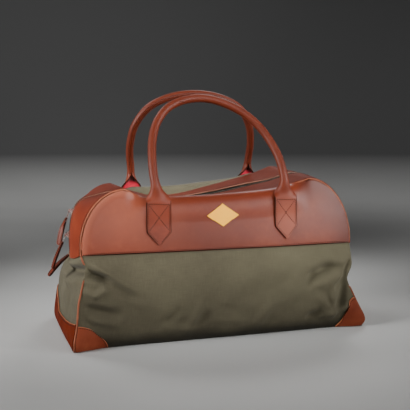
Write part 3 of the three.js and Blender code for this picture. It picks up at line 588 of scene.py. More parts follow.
def sheet(name, grid, outer, inner, face, cut, normals=None, shown=SIDES, bordered=False, rim_light_shade=0):
    """A closed sheet between two offsets from a grid, with a finish for the cut sides that show.

    A bordered sheet has that finish on the outermost row of its face too. Each place keeps its lengths
    along both ways of the grid, for the weave, and its share of painted highlight, or below 0 of painted
    shade.
    """
    if normals is None:
        normals = normals_of(grid)
    rows, across_count = grid.shape[:2]
    size = rows * across_count
    points = np.concatenate([(grid + outer * normals), (grid + inner * normals)]).reshape(-1, 3)
    number = np.arange(size).reshape(rows, across_count)
    a, b, c, d = number[:-1, :-1], number[1:, :-1], number[1:, 1:], number[:-1, 1:]
    outside = np.stack([a, b, c, d], -1).reshape(-1, 4)
    border = np.zeros((rows - 1, across_count - 1), int)
    for side_name, part in zip(SIDES, (border[:, 0], border[-1], border[:, -1], border[0])):
        part[:] |= int(bordered and side_name in shown)
    inside = np.stack([a, d, c, b], -1).reshape(-1, 4) + size
    runs = [number[:-1, 0], number[-1, :-1], number[:0:-1, -1], number[0, :0:-1]]
    rim = np.concatenate(runs)
    after = np.roll(rim, -1)
    side = np.stack([after, rim, rim + size, after + size], -1)
    kinds = [*border.ravel(), *[0] * len(inside)]
    for side_name, run in zip(SIDES, runs):
        kinds += [int(side_name in shown)] * len(run)
    u, v = np.meshgrid(lengths(grid[:, across_count // 2]), lengths(grid[rows // 2]), indexing="ij")
    flat = np.stack([u, v, rim_light_shade + np.zeros_like(u)], -1).reshape(-1, 3)
    faces = np.concatenate([outside, inside, side])
    piece = make_object(name, points, faces, [face, cut], kinds, np.concatenate([flat, flat]))
    return round_edges(piece)


def ring_faces(rings, sides):
    """The walls and the two caps of a row of rings, numbered ring by ring."""
    number = np.arange(rings * sides).reshape(rings, sides)
    ahead = np.roll(number, -1, axis=1)
    walls = np.stack([number[:-1], ahead[:-1], ahead[1:], number[1:]], -1).reshape(-1, 4)
    return [*walls, number[0][::-1], number[-1]]


def tube(name, line, radius, sides, finish, reference):
    """A round cord along a line, closed at both ends, with a radius for each place."""
    tangent = unit(np.gradient(line, axis=0))
    first = unit(reference - tangent * (tangent @ reference)[:, None])
    second = np.cross(tangent, first)
    turn = np.linspace(0, 2 * math.pi, sides, endpoint=False)
    ring = first[:, None] * np.cos(turn)[:, None] + second[:, None] * np.sin(turn)[:, None]
    points = (line[:, None] + radius[:, None, None] * ring).reshape(-1, 3)
    return make_object(name, points, ring_faces(len(line), sides), [finish])


print("mesh helpers ready")

# %% [markdown]
# ## Shader maths as plain expressions
# A finish is a small network of nodes. Written node by node it is hard to read, so a value wraps a
# socket and lets Python's own signs add the Math nodes. A pool is a soft round place, given in metres
# on the bag, where painted shade makes a finish darker or painted light makes it paler: it belongs to
# the bag and turns with it.

# %% The value and finish classes
class Value:
    """One output of a shader node, on which arithmetic adds Math nodes."""

    def __init__(self, finish, socket):
        self.finish = finish
        self.socket = socket

    def maths(self, operation, *values):
        return self.finish.node("ShaderNodeMath", {"operation": operation}, dict(enumerate(values)))

    def __add__(self, other):
        return self.maths("ADD", self, other)

    def __radd__(self, other):
        return self.maths("ADD", other, self)

    def __sub__(self, other):
        return self.maths("SUBTRACT", self, other)

    def __rsub__(self, other):
        return self.maths("SUBTRACT", other, self)

    def __mul__(self, other):
        return self.maths("MULTIPLY", self, other)

    def __rmul__(self, other):
        return self.maths("MULTIPLY", other, self)

    def __abs__(self):
        return self.maths("ABSOLUTE", self)

    def sine(self):
        return self.maths("SINE", self)


class Finish:
    """A material, and the nodes that make it."""

    def __init__(self, name):
        self.material = bpy.data.materials.new(name)
        self.material.use_nodes = True
        self.tree = self.material.node_tree
        self.tree.nodes.clear()

    def node(self, kind, settings=None, inputs=None, output=0):
        made = self.tree.nodes.new(kind)
        for key, value in (settings or {}).items():
            if key == "stops":
                for element, (place, colour) in zip(made.color_ramp.elements, value):
                    element.position = place
                    element.color = colour
            else:
                setattr(made, key, value)
        for key, value in (inputs or {}).items():
            if isinstance(value, Value):
                self.tree.links.new(value.socket, made.inputs[key])
            else:
                made.inputs[key].default_value = value
        return Value(self, made.outputs[output]) if len(made.outputs) else None

    def place(self):
        return self.node("ShaderNodeTexCoord", output="Object")

    def flat(self):
        """What a sheet keeps at each place: two lengths in millimetres, and its share of painted highlight,
        or below 0 of painted shade.
        """
        return self.node("ShaderNodeAttribute", {"attribute_name": "flat_mm"}, output="Vector")

    def part(self, three, axis):
        """One of the three numbers of a place."""
        return self.node("ShaderNodeSeparateXYZ", None, {0: three}, axis)

    def noise(self, scale, detail=3.0, roughness=0.55, where=None):
        inputs = {"Scale": scale, "Detail": detail, "Roughness": roughness}
        inputs["Vector"] = self.place() if where is None else where
        return self.node("ShaderNodeTexNoise", None, inputs)

    def ramp(self, value, low, high):
        """0 below low, 1 above high and even between."""
        stops = [(low, (0, 0, 0, 1)), (high, (1, 1, 1, 1))]
        return self.node("ShaderNodeValToRGB", {"stops": stops}, {0: value})

    def mix(self, factor, first, second):
        return self.node("ShaderNodeMix", {"data_type": "RGBA"}, {0: factor, 6: first, 7: second}, 2)

    def pool(self, colour, tone, amount, across, up, reach_across, reach_up):
        """Painted light or painted shade: a tone laid over a colour round one place on the bag's long
        sides.
        """
        away_x = (self.part(self.place(), 0) - across) * (1 / reach_across)
        away_z = (self.part(self.place(), 2) - up) * (1 / reach_up)
        near = 1 - self.ramp(away_x * away_x + away_z * away_z, 0.0, 1.0)
        return self.mix(near * amount, colour, tone)

    def bump(self, height, distance, strength):
        inputs = {"Height": height, "Distance": distance, "Strength": strength}
        return self.node("ShaderNodeBump", None, inputs)

    def surface(self, inputs):
        shader = self.node("ShaderNodeBsdfPrincipled", None, inputs)
        self.node("ShaderNodeOutputMaterial", None, {"Surface": shader})
        return self.material


def srgb(red, green, blue):
    """A colour as seen on a screen, 0 to 255, as the linear colour that a shader takes."""
    def linear(value):
        share = value / 255
        return share / 12.92 if share <= 0.04045 else ((share + 0.055) / 1.055) ** 2.4
    return (linear(red), linear(green), linear(blue), 1.0)


def toned(colour, factor, grey=0.0):
    """A linear colour that is darker or paler by a factor, with some grey added."""
    return [channel * factor + grey for channel in colour[:3]] + [1.0]


print("finish classes ready")

# %% [markdown]
# ## Canvas
# Duck canvas is a plain weave of thick threads. The threads are too fine to model, so their height
# is worked out from the cloth's flat measure and goes to the bump. Thicker threads here and there
# show as short streaks along both directions, and the dye varies softly over a hand's width. Painted
# shade darkens the canvas towards the floor, most of all where the hem turns under the bag, and
# painted light makes a place at the right paler. Painted shade darkens the red lining up in the fold
# of a handle.

# %% Canvas finish
THREAD_PITCH = 0.95
STREAK = {"along": 0.05, "over": 0.9}  # noise cells in a millimetre of a thick thread
DYE_SCALE = 14.0  # noise cells in a metre
FLECK_SCALE = 900.0
TONE_SHARES = {"streaks": 0.55, "dye": 0.3, "fleck": 0.15}
TONE_SPAN = (0.36, 0.64)  # tones that take the dark and the light dye
WEAVE_SPAN = (0.1, 0.7)  # heights of the weave that count as a gap and as a thread
GAP_DARK = 0.3
STREAK_HEIGHT = 0.8  # of a thick thread, next to a plain one
WEAVE_BUMP = (0.0004, 0.45)  # depth in metres, and strength
LOW_SHADE_RISE = 0.15  # metres up from the floor over which the painted shade near the floor fades out
LOW_SHADE_DARK = 0.36
LOW_SHADE_UNEVEN = 0.5  # share of that height by which the dye moves the painted shade up and down
UNDER_SHADE_SPAN = (0.006, 0.024)  # metres up over which the painted shadow under the turned-under hem ends
HEM_SHADE = 0.92
TURN_UNEVEN = 0.02  # metres by which the dye moves it
# the dark tone of all painted shade on cloth
SHADE_TONE = srgb(32, 29, 22)
CANVAS_LIGHT_POOL = (0.55, 0.16, 0.12, 0.17, 0.1)  # how much, and round which place, painted light makes the canvas paler
CANVAS_LIGHT_PALE = 1.3
LINING_SHADE = (0.011, 0.019)  # metres up the lining, over which painted shade darkens it into a handle's fold


def canvas_finish(name, light, dark, deep=None):
    """Woven cloth in two tones of one dye, with painted shade towards the floor, a pool of painted light,
    and, if asked, painted shade along its length.
    """
    light, dark = srgb(*light), srgb(*dark)
    finish = Finish(name)
    flat = finish.flat()
    u, v = finish.part(flat, 0), finish.part(flat, 1)
    warp = (u * (math.pi / THREAD_PITCH)).sine()
    weft = (v * (math.pi / THREAD_PITCH)).sine()
    over = warp * weft
    height = abs(warp) * (0.5 + over * 0.5) + abs(weft) * (0.5 - over * 0.5)
    streaks = 0.0
    for stretch in [(STREAK["along"], STREAK["over"], 1), (STREAK["over"], STREAK["along"], 1)]:
        stretched = finish.node("ShaderNodeVectorMath", {"operation": "MULTIPLY"}, {0: flat, 1: stretch})
        streaks = streaks + finish.noise(1.0, 2.0, 0.5, stretched) * 0.5
    dye = finish.noise(DYE_SCALE, 4.0)
    fleck = finish.noise(FLECK_SCALE, 1.0)
    tone = streaks * TONE_SHARES["streaks"] + dye * TONE_SHARES["dye"] + fleck * TONE_SHARES["fleck"]
    colour = finish.mix(finish.ramp(tone, *TONE_SPAN), dark, light)
    colour = finish.mix((1 - finish.ramp(height, *WEAVE_SPAN)) * GAP_DARK, colour, dark)
    # painted light: a paler pool at the right
    colour = finish.pool(colour, toned(light, CANVAS_LIGHT_PALE), *CANVAS_LIGHT_POOL)
    up = finish.part(finish.place(), 2)
    # painted shade: darker towards the floor, and darkest where the hem turns under the bag
    unshaded = finish.ramp(up * (1 / LOW_SHADE_RISE) + (dye - 0.5) * LOW_SHADE_UNEVEN, 0.0, 1.0)
    colour = finish.mix((1 - unshaded) * LOW_SHADE_DARK, colour, SHADE_TONE)
    turned = finish.ramp(up + (dye - 0.5) * TURN_UNEVEN, *UNDER_SHADE_SPAN)
    colour = finish.mix((1 - turned) * HEM_SHADE, colour, SHADE_TONE)
    # painted shade up in the fold of a handle
    if deep:
        colour = finish.mix(finish.ramp(u * MM, *deep) * HEM_SHADE, colour, SHADE_TONE)
    return finish.surface({
        "Base Color": colour,
        "Roughness": 0.88,
        "Specular IOR Level": 0.15,
        "Sheen Weight": 0.04,
        "Sheen Roughness": 0.5,
        "Normal": finish.bump(height + streaks * STREAK_HEIGHT, *WEAVE_BUMP),
    })


canvas = canvas_finish("olive canvas", (97, 92, 73), (79, 73, 58))
lining_cloth = canvas_finish("red lining", (184, 39, 58), (163, 26, 44), LINING_SHADE)
tape_cloth = canvas_finish("dark zip tape", (45, 39, 34), (26, 22, 20))
print("cloth finishes", canvas.name, lining_cloth.name, tape_cloth.name)

# %% [markdown]
# ## Leather
# Waxed cognac leather is mottled where the wax moved, has fine pores, and gleams softly. Colour comes
# from two scales of noise. The grain is a Voronoi pattern about a millimetre across, which only a low
# bump needs. Painted shade darkens the yoke in a few places and along its right rim, and painted light
# makes it paler along its left rim and in one place at the left, and makes the tabs at the right paler.
# The zip strips darken towards the top as painted shade, and the grips darken towards the top. The
# ends' patches are a darker copy of the patch leather, as painted shade. The edges of the yoke, the
# tabs and the straps are painted dark, and along the yoke's lower edge and on the tabs' faces that dark
# also stands for the shade along the edge. Those of the patches are raw and pale, and those of the zip
# strips are worn.

# %% Leather finishes
GRAIN = 1100.0  # grain cells in a metre
CLOUD_SCALE = 16.0  # noise cells in a metre
MOTTLE_SCALE = 60.0
PORE_SCALE = 2200.0
CLOUD_SPAN = (0.38, 0.66)  # values of each noise between which it begins to show
MOTTLE_SPAN = (0.52, 0.74)
PORE_SPAN = (0.58, 0.7)
MOTTLE_PALE = 0.4
PORE_DARK = 0.18
MOTTLE_GLOSS = 0.16  # by how much mottling and pores change the roughness
PORE_GLOSS = 0.08
GRAIN_HEIGHTS = {"cells": 0.7, "pores": 0.3, "mottle": 0.8}
GRAIN_BUMP = (0.0003, 0.22)  # depth in metres, and strength
GRIP_HEIGHTS = (0.235, 0.3, 0.62)  # metres up over which a handle darkens to its grip, and how much
TOP_HEIGHTS = (0.2, 0.25, 0.85)  # the same for the zip strips, from the ends to the top, as painted shade
# factor that makes the dark tone from the deep one, for painted shade and the darker grips
DARK_TONE_SHARE = 0.62
# the tone of painted highlights: paler, with a little grey added
HIGHLIGHT_PALE = 1.3
HIGHLIGHT_GREY = 0.022
RIM_HIGHLIGHT = 0.7  # share of the pale tone in the painted highlight along a rim
RIM_SHADE = 0.9  # and of the dark tone in the painted shade along a rim
# pools of painted shade on the yoke: how much, where, and how far they reach
YOKE_SHADE_POOLS = [
    (0.7, -0.04, 0.178, 0.13, 0.055),
    (0.7, -0.02, 0.248, 0.15, 0.03),
    (0.35, -0.207, 0.2, 0.025, 0.045),
]
# a pool of painted light on the yoke's left
YOKE_LIGHT_POOLS = [(0.3, -0.17, 0.205, 0.11, 0.075)]
# a painted highlight on the tabs at the right
TAB_HIGHLIGHT_POOLS = [(0.75, 0.118, 0.195, 0.045, 0.06)]


def leather_finish(name, base, deep, pale, roughness, shine, darker_up=None, painted_shade=(), painted_light=()):
    """Leather in three tones, darker towards the top if asked, with pools of painted shade and painted
    light, and painted highlight or painted shade along a rim.
    """
    base, deep, pale = srgb(*base), srgb(*deep), srgb(*pale)
    dark, highlight_tone = toned(deep, DARK_TONE_SHARE), toned(pale, HIGHLIGHT_PALE, HIGHLIGHT_GREY)
    finish = Finish(name)
    clouds = finish.noise(CLOUD_SCALE, 5.0, 0.6)
    mottle = finish.noise(MOTTLE_SCALE, 4.0, 0.6)
    pores = finish.noise(PORE_SCALE, 2.0)
    cells = finish.node("ShaderNodeTexVoronoi", None, {"Vector": finish.place(), "Scale": GRAIN})
    colour = finish.mix(finish.ramp(clouds, *CLOUD_SPAN), deep, base)
    colour = finish.mix(finish.ramp(mottle, *MOTTLE_SPAN) * MOTTLE_PALE, colour, pale)
    colour = finish.mix(finish.ramp(pores, *PORE_SPAN) * PORE_DARK, colour, deep)
    # painted shade in given places
    for pool in painted_shade:
        colour = finish.pool(colour, dark, *pool)
    # painted highlight along the yoke's left rim, painted shade along its right rim
    rim_light_shade = finish.part(finish.flat(), 2)
    colour = finish.mix(rim_light_shade * RIM_HIGHLIGHT, colour, highlight_tone)
    colour = finish.mix(rim_light_shade * -RIM_SHADE, colour, dark)
    # painted light in given places
    for pool in painted_light:
        colour = finish.pool(colour, highlight_tone, *pool)
    # darker towards the top; on the zip strips this is painted shade
    if darker_up:
        low, high, amount = darker_up
        up = finish.part(finish.place(), 2)
        colour = finish.mix(finish.ramp(up, low, high) * amount, colour, dark)
    height = cells * GRAIN_HEIGHTS["cells"] + pores * GRAIN_HEIGHTS["pores"]
    height = height + mottle * GRAIN_HEIGHTS["mottle"]
    return finish.surface({
        "Base Color": colour,
        "Roughness": roughness + (mottle - 0.5) * MOTTLE_GLOSS + (pores - 0.5) * PORE_GLOSS,
        "Specular IOR Level": shine,
        "Normal": finish.bump(height, *GRAIN_BUMP),
    })


yoke_leather = leather_finish("yoke leather", (121, 52, 29), (106, 41, 21), (132, 64, 38), 0.4, 0.2,
                              painted_shade=YOKE_SHADE_POOLS, painted_light=YOKE_LIGHT_POOLS)
band_leather = leather_finish("band leather", (124, 51, 29), (106, 39, 21), (138, 67, 40), 0.6, 0.1,
                              darker_up=TOP_HEIGHTS)
handle_leather = leather_finish("handle leather", (113, 45, 24), (94, 35, 17), (127, 58, 34), 0.5, 0.22,
                                darker_up=GRIP_HEIGHTS, painted_light=TAB_HIGHLIGHT_POOLS)
dark_edge = leather_finish("painted edge", (48, 20, 12), (36, 14, 8), (60, 28, 17), 0.7, 0.04)
pale_edge = leather_finish("raw edge", (171, 101, 58), (147, 78, 41), (187, 122, 80), 0.6, 0.5)
strip_edge = leather_finish("worn edge", (138, 97, 80), (114, 74, 58), (154, 115, 99), 0.7, 0.1)
patch_leather = leather_finish("patch leather", (129, 62, 40), (111, 49, 30), (143, 77, 51), 0.6, 0.1)
# a darker copy of the patch leather: painted shade for the bag's ends
shaded_end_leather = leather_finish("shaded end leather", (97, 35, 17), (82, 27, 12), (107, 45, 24), 0.7, 0.02)
piping_leather = leather_finish("piping leather", (146, 85, 60), (124, 66, 43), (162, 104, 78), 0.5, 0.2)
label_leather = leather_finish("natural leather", (255, 186, 60), (252, 174, 48), (255, 196, 76), 0.7, 0.06)
print("leather finishes ready")

# %% [markdown]
# ## Canvas panels
# The front, the back and the two ends are built over their surfaces on a fine grid, so that the
# folds are real shape and cast real shade. A stiff flat base closes the bag below.

# %% Canvas pieces
CANVAS = 1.4
LAP = 8  # canvas that runs on behind the leather
FLOOR_GAP = 0.5
COLUMNS = columns(34, 120)
ENDS = {"left": -1, "right": 1}

levels = np.concatenate([np.linspace(FLOOR_GAP, SEAM_HEIGHT, 66), [SEAM_HEIGHT + LAP]])
front_grid = FRONT.lower(COLUMNS[:, None], levels[None, :])
sew_on(sheet("canvas_front", front_grid, 0, -CANVAS, canvas, canvas), "canvas", "front_canvas")

back_levels = np.linspace(FLOOR_GAP, SEAM_HEIGHT, 40)[:-1]
back_low = BACK.lower(COLUMNS[:, None], back_levels[None, :])
back_high = BACK.upper(COLUMNS[:, None], np.linspace(0, 1, 46)[None, :])
back_grid = relax(np.concatenate([back_low, back_high], axis=1)[::-1], 6)
sew_on(sheet("canvas_back", back_grid, 0, -CANVAS, canvas, canvas), "canvas", "back_canvas")

for side, end in ENDS.items():
    share = np.linspace(-1, 1, 65)
    grid = end_place(end, levels[None, :], share[:, None])
    grid = grid[::-1] if end < 0 else grid
    sew_on(sheet(f"canvas_end_{side}", grid, 0, -CANVAS, canvas, canvas), "canvas", f"end_canvas_{side}")

BASE = {"inset": 0.994, "top": 2.2, "thickness": 2.0}
base_c = columns(12, 50)
front_foot = FRONT.lower(base_c, np.full(len(base_c), FLOOR_GAP))
back_foot = BACK.lower(base_c, np.full(len(base_c), FLOOR_GAP))
base_share = np.linspace(0, 1, 33)[None, :, None]
base_grid = lerp(front_foot[:, None], back_foot[:, None], base_share) * [BASE["inset"], BASE["inset"], 0]
base_normals = np.zeros_like(base_grid) + [0, 0, -1]
base_grid[..., 2] = BASE["top"]
base_sheet = sheet("canvas_base", base_grid[::-1], BASE["top"], BASE["top"] - BASE["thickness"],
                   canvas, canvas, base_normals)
sew_on(base_sheet, "canvas", "base_panel")
print("canvas front on a grid of", front_grid.shape[:2], "places")

# %% [markdown]
# ## Yoke
# The leather lies on the canvas, so it uses the same surfaces a little further out. The yoke stands
# up from its seam and rolls over the top edge between the handles. Its rim stands up a little; along
# it a painted highlight makes it paler at the left, and painted shade makes it darker at the right. A
# tone painted on the mesh by hand would do, but one worked out from the distance to the rim stays
# right when the shape changes.

# %% Yoke
LAYER_GAP = 0.8
LEATHER_THICKNESS = 1.8
LEATHER_IN = LAYER_GAP
LEATHER_OUT = LAYER_GAP + LEATHER_THICKNESS
# the painted highlight rim's width and rise, half the length over which it turns to painted shade, and the
# shaded rim's width
RIM = {"reach": 13, "rise": 1.5, "middle": 60, "dark": 60}

yoke_grid = relax(FRONT.upper(COLUMNS[:, None], np.linspace(0, 1, 61)[None, :]), 8)
yoke_roll = FRONT.column(COLUMNS, 0)["roll"]
rim_places = np.concatenate([yoke_grid[:, -1], yoke_grid[0], yoke_grid[-1]])
rim_kept = np.concatenate([1 - yoke_roll, np.ones(2 * yoke_grid.shape[1])])
from_rim = np.linalg.norm(yoke_grid[:, :, None] - rim_places, axis=-1)
near_rim = np.argmin(from_rim, axis=-1)
at_left = smooth(RIM["middle"], -RIM["middle"], rim_places[near_rim, 0])
rim = smooth(lerp(RIM["dark"], RIM["reach"], at_left), 0, from_rim.min(axis=-1)) * rim_kept[near_rim]
yoke_grid = yoke_grid + RIM["rise"] * (rim * at_left)[..., None] * normals_of(yoke_grid)
# the dark edge paint on the yoke's lower border also stands for the shade along that edge
yoke = sheet("yoke", yoke_grid, LEATHER_OUT, LEATHER_IN, yoke_leather, dark_edge, shown=["low"],
             bordered=True, rim_light_shade=rim * (2 * at_left - 1))
sew_on(yoke, "leather", "front_yoke")
print("yoke on a grid of", yoke_grid.shape[:2], "places")

# %% [markdown]
# ## Zip strips
# Two strips run up one end, over the top and down the other, one on each side of the zip. They are
# cut from the stations of the band, so their outer edges meet the seams. Their inner edges open,
# lift and droop along the zip, and a short table says where.

# %% Zip strips
LIP_BORDER = 0.988  # share of a strip's width at which its worn edge begins
zip_columns = columns(44, 110)
top_lines = top_station(zip_columns)
rise = np.linspace(SEAM_HEIGHT, ARCH_FOOT, 5)[:-1]
left_lines = end_station(-1, rise)
right_lines = end_station(1, rise[::-1])
band_lines = [np.concatenate(lines) for lines in zip(left_lines, top_lines, right_lines)]
band_half = half_width(band_lines)
top_roll = FRONT.column(zip_columns, 0)["roll"]
band_inset = lerp(SEAM_INSET, SEAM_CLOSED, np.concatenate([0 * rise, top_roll, 0 * rise]))
strip_share = np.append(np.linspace(0, LIP_BORDER, 19), 1)
LIP_REACH = 26  # from the zip, over which a strip's edge stands up or lies down
LIP = curves(table(
    ["c", "front", "back", "opening"],
    [
        [-1, 0, 0, 7],
        [-0.88, 0, 0, 7],
        [-0.8, 0, 0.3, 7],
        [-0.7, 0, 0.6, 3.5],
        [-0.55, 0, 1, 3.5],
        [-0.4, -0.5, 1, 3.5],
        [-0.25, -1.2, 3, 4.5],
        [0.0, -1.5, 3.3, 5.5],
        [0.22, -1, 3, 6],
        [0.5, 0, 0, 6.5],
        [1, 0, 0, 7],
    ],
), "c")
band_c = np.concatenate([0 * rise - 1, zip_columns, 0 * rise + 1])
lip_turn = np.clip((1 - np.abs(band_c)) / (1 - ARCH_SHARE), 0, 1) * math.pi / 2
lip_out = vector(np.sign(band_c) * np.cos(lip_turn), 0, np.sin(lip_turn))[:, None]
strip_grids = {}
for side, sign in [("front", -1), ("back", 1)]:
    seam_w = sign * (1 - band_inset / band_half)
    zip_w = sign * LIP["opening"](band_c) / band_half
    w = lerp(seam_w[:, None], zip_w[:, None], strip_share[None, :])
    w = w if sign < 0 else w[:, ::-1]
    lines = [line[:, None] for line in band_lines]
    grid = across(lines, w)
    from_zip = np.abs(w - zip_w[:, None]) * band_half[:, None]
    lip = LIP[side](band_c)[:, None] * smooth(LIP_REACH, 0, from_zip)
    strip_grids[side] = relax(grid + lip[..., None] * lip_out, 4)
    strip = sheet(f"strip_{side}", strip_grids[side], LEATHER_OUT, LEATHER_IN, band_leather, strip_edge,
                  shown=["high" if sign < 0 else "low"], bordered=True)
    sew_on(strip, "leather", f"zip_strip_{side}")
print("zip strips over", len(band_c), "stations")

# %% [markdown]
# ## Corner patches
# A patch guards each lower corner, and a wider one the foot of each end. A square pressed into the
# corner's shape makes an even grid that follows the curved edge, which cutting the shape out of a
# larger sheet would not. The raw edge is a thin pale border.

# %% Corner patches
PATCH_FLOOR = 2.5
PATCH_SIDE = 50  # usual length of a side
RAW_BORDER = 1.1  # width of the raw edge that shows on a face
PATCHES = named_rows(["side", "end", "along", "up", "full"], [
    ["front", "left", 54, 39, 0.6],
    ["front", "right", 47, 53, 0.55],
    ["back", "left", 50, 46, 0.6],
    ["back", "right", 50, 46, 0.6],
])


def patch_place(row, a, b):
    """A square pressed into a corner piece, whose curved edge is fuller for a larger full."""
    panel, end = PANELS[row["side"]], ENDS[row["end"]]
    flat = 1 - row["full"]
    z = PATCH_FLOOR + row["up"] * b * (1 - flat * a * a)
    x = end * (panel.edge(end, z) - SEAM_INSET - row["along"] * a * (1 - flat * b * b))
    return vector(x, panel.facing * panel.depth(x, z), z), panel.normal(x, z)


patch_steps = np.append(np.linspace(0, 1 - RAW_BORDER / PATCH_SIDE, 25), 1)
for row in PATCHES:
    turned = ENDS[row["end"]] * PANELS[row["side"]].facing < 0
    first = patch_steps[::-1] if turned else patch_steps
    grid, normals = patch_place(row, first[:, None], patch_steps[None, :])
    name = f"{row['side']}_{row['end']}"
    patch = sheet(f"patch_{name}", grid, LEATHER_OUT, LEATHER_IN, patch_leather, pale_edge, normals,
                  shown=["high", "first" if turned else "last"], bordered=True)
    sew_on(patch, "leather", f"corner_{name}")

END_PATCH = {"front": 45, "middle": 34, "back": 58}


def end_patch_top(share):
    """The height of an end's patch, which is lowest in the middle."""
    sides = np.where(share < 0, END_PATCH["front"], END_PATCH["back"])
    return lerp(END_PATCH["middle"], sides, share * share)


for side, end in ENDS.items():
    share = np.linspace(-1, 1, 65)[:, None]
    z = lerp(PATCH_FLOOR, end_patch_top(share), patch_steps[None, :])
    grid = end_place(end, z, share)
    grid = grid[::-1] if end < 0 else grid
    patch = sheet(f"patch_end_{side}", grid, LEATHER_OUT, LEATHER_IN, shaded_end_leather, pale_edge,
                  shown=["high"], bordered=True)
    sew_on(patch, "leather", f"corner_end_{side}")
print("patches", len(PATCHES) + len(ENDS))

# %% [markdown]
# ## Piping
# A cord wrapped in pale leather is caught in the seam between each panel and the band. It follows
# the seam's line up, over the top and down, and it draws in and gets thinner where the canvas hangs
# over it. A curve object with a bevel would do as well. Rings made here are a plain mesh from the
# start, like the other pieces.

# %% Piping
PIPING_RADIUS = 1.5
PIPING_CLEAR = 0.3  # from the floor to its lower end
PIPING_SIDES = 12
TUCK = {"front": 12.0, "back": 7.0}  # how far the piping draws in where the canvas hangs over it
TUCK_THIN = 0.6  # and how much thinner it gets there
pipe_heights = np.linspace(PIPING_RADIUS + PIPING_CLEAR, SEAM_HEIGHT, 60)
for index, (side, panel) in enumerate(PANELS.items()):
    posts, hidden = {}, {}
    for end in ENDS.values():
        hidden[end] = hung_over(side, end, pipe_heights)
        tuck = TUCK[side] * hidden[end]
        post = end_station(end, pipe_heights)[2 * index]
        posts[end] = post + vector(-end * tuck, -panel.facing * tuck, 0)
    line = np.concatenate([posts[-1], panel.seam(COLUMNS), posts[1][::-1]])
    thin = np.concatenate([hidden[-1], 0 * COLUMNS, hidden[1][::-1]]) * TUCK_THIN
    cord = tube(f"piping_cord_{side}", line, PIPING_RADIUS * (1 - thin), PIPING_SIDES, piping_leather,
                np.array([0.0, 1.0, 0.0]))
    sew_on(cord, "trim", f"piping_{side}")
print("piping follows", len(line), "places")

# %% [markdown]
# ## Rolled handles
# A handle is one strip of leather: flat and pointed where it is sewn on, then curled up more and
# more until it is a round grip. So the strip has a width, a share of a full roll and a wall at each
# distance, and its section is that arc. A curve with a round bevel could not go flat at its ends.

# %% The strip of a handle
TABS = named_rows(["side", "end", "x", "tip", "top"], [
    ["front", "left", -114, 168, 241],
    ["front", "right", 112, 170, 243],
    ["back", "left", -114, 172, 245],
    ["back", "right", 124, 190, 263],
])
TAB_KNOTS = 8
TAB_STANDING = 205  # height from which a tab leaves its panel and stands straight up
TAB_CURL = 35  # or from this far below its top, if that is higher
STRIP_ROWS = table(
    ["distance", "width", "roll", "wall"],
    [
        [0, 4, 0.005, 2.6],
        [21, 41, 0.005, 2.6],
        [24, 41, 0.005, 2.6],
        [70, 41, 0.02, 2.6],
        [81, 42, 0.3, 2.6],
        [92, 43, 0.66, 2.8],
        [102, 43.6, 0.93, 3.4],
        [110, 43.8, 0.988, 4.8],
        [120, 43.8, 0.988, 5.6],
    ],
)
STRIP = curves(STRIP_ROWS, "distance")
GRIP_RADIUS = 7.0
GRIP_LEAN = 0.3  # how far the outer face of a handle looks up
GRIPS = {
    "front": [
        [-120, 108, 280], [-120, 98, 305], [-116, 82, 335], [-105, 66, 366],
        [-82, 52, 393], [-48, 44, 408], [-10, 42, 411], [28, 47, 401],
        [62, 59, 381], [88, 75, 351], [105, 95, 312], [110, 108, 282],
    ],
    "back": [
        [-115, 108, 285], [-119, 97, 308], [-121, 79, 335], [-115, 61, 367],
        [-92, 44, 399], [-52, 34, 418], [-2, 31, 424], [48, 34, 416],
        [88, 45, 397], [112, 62, 365], [122, 81, 333], [125, 99, 303],
    ],
}


def route(knots, count=24):
    """A smooth line through knots, which slows down where they lie close together."""
    before, after = 2 * knots[0] - knots[1], 2 * knots[-1] - knots[-2]
    p = np.concatenate([[before], knots, [after]])
    line = []
    for i in range(1, len(p) - 2):
        gaps = [math.sqrt(np.linalg.norm(p[k + 1] - p[k])) for k in (i - 1, i, i + 1)]
        start = (p[i] - p[i - 1]) / gaps[0] - (p[i + 1] - p[i - 1]) / (gaps[0] + gaps[1])
        start = (start + (p[i + 1] - p[i]) / gaps[1]) * gaps[1]
        end = (p[i + 1] - p[i]) / gaps[1] - (p[i + 2] - p[i]) / (gaps[1] + gaps[2])
        end = (end + (p[i + 2] - p[i + 1]) / gaps[2]) * gaps[1]
        t = np.linspace(0, 1, count, endpoint=False)[:, None]
        line.append(cubic(p[i], p[i + 1], start, end, t))
    return np.concatenate([*line, [knots[-1]]])


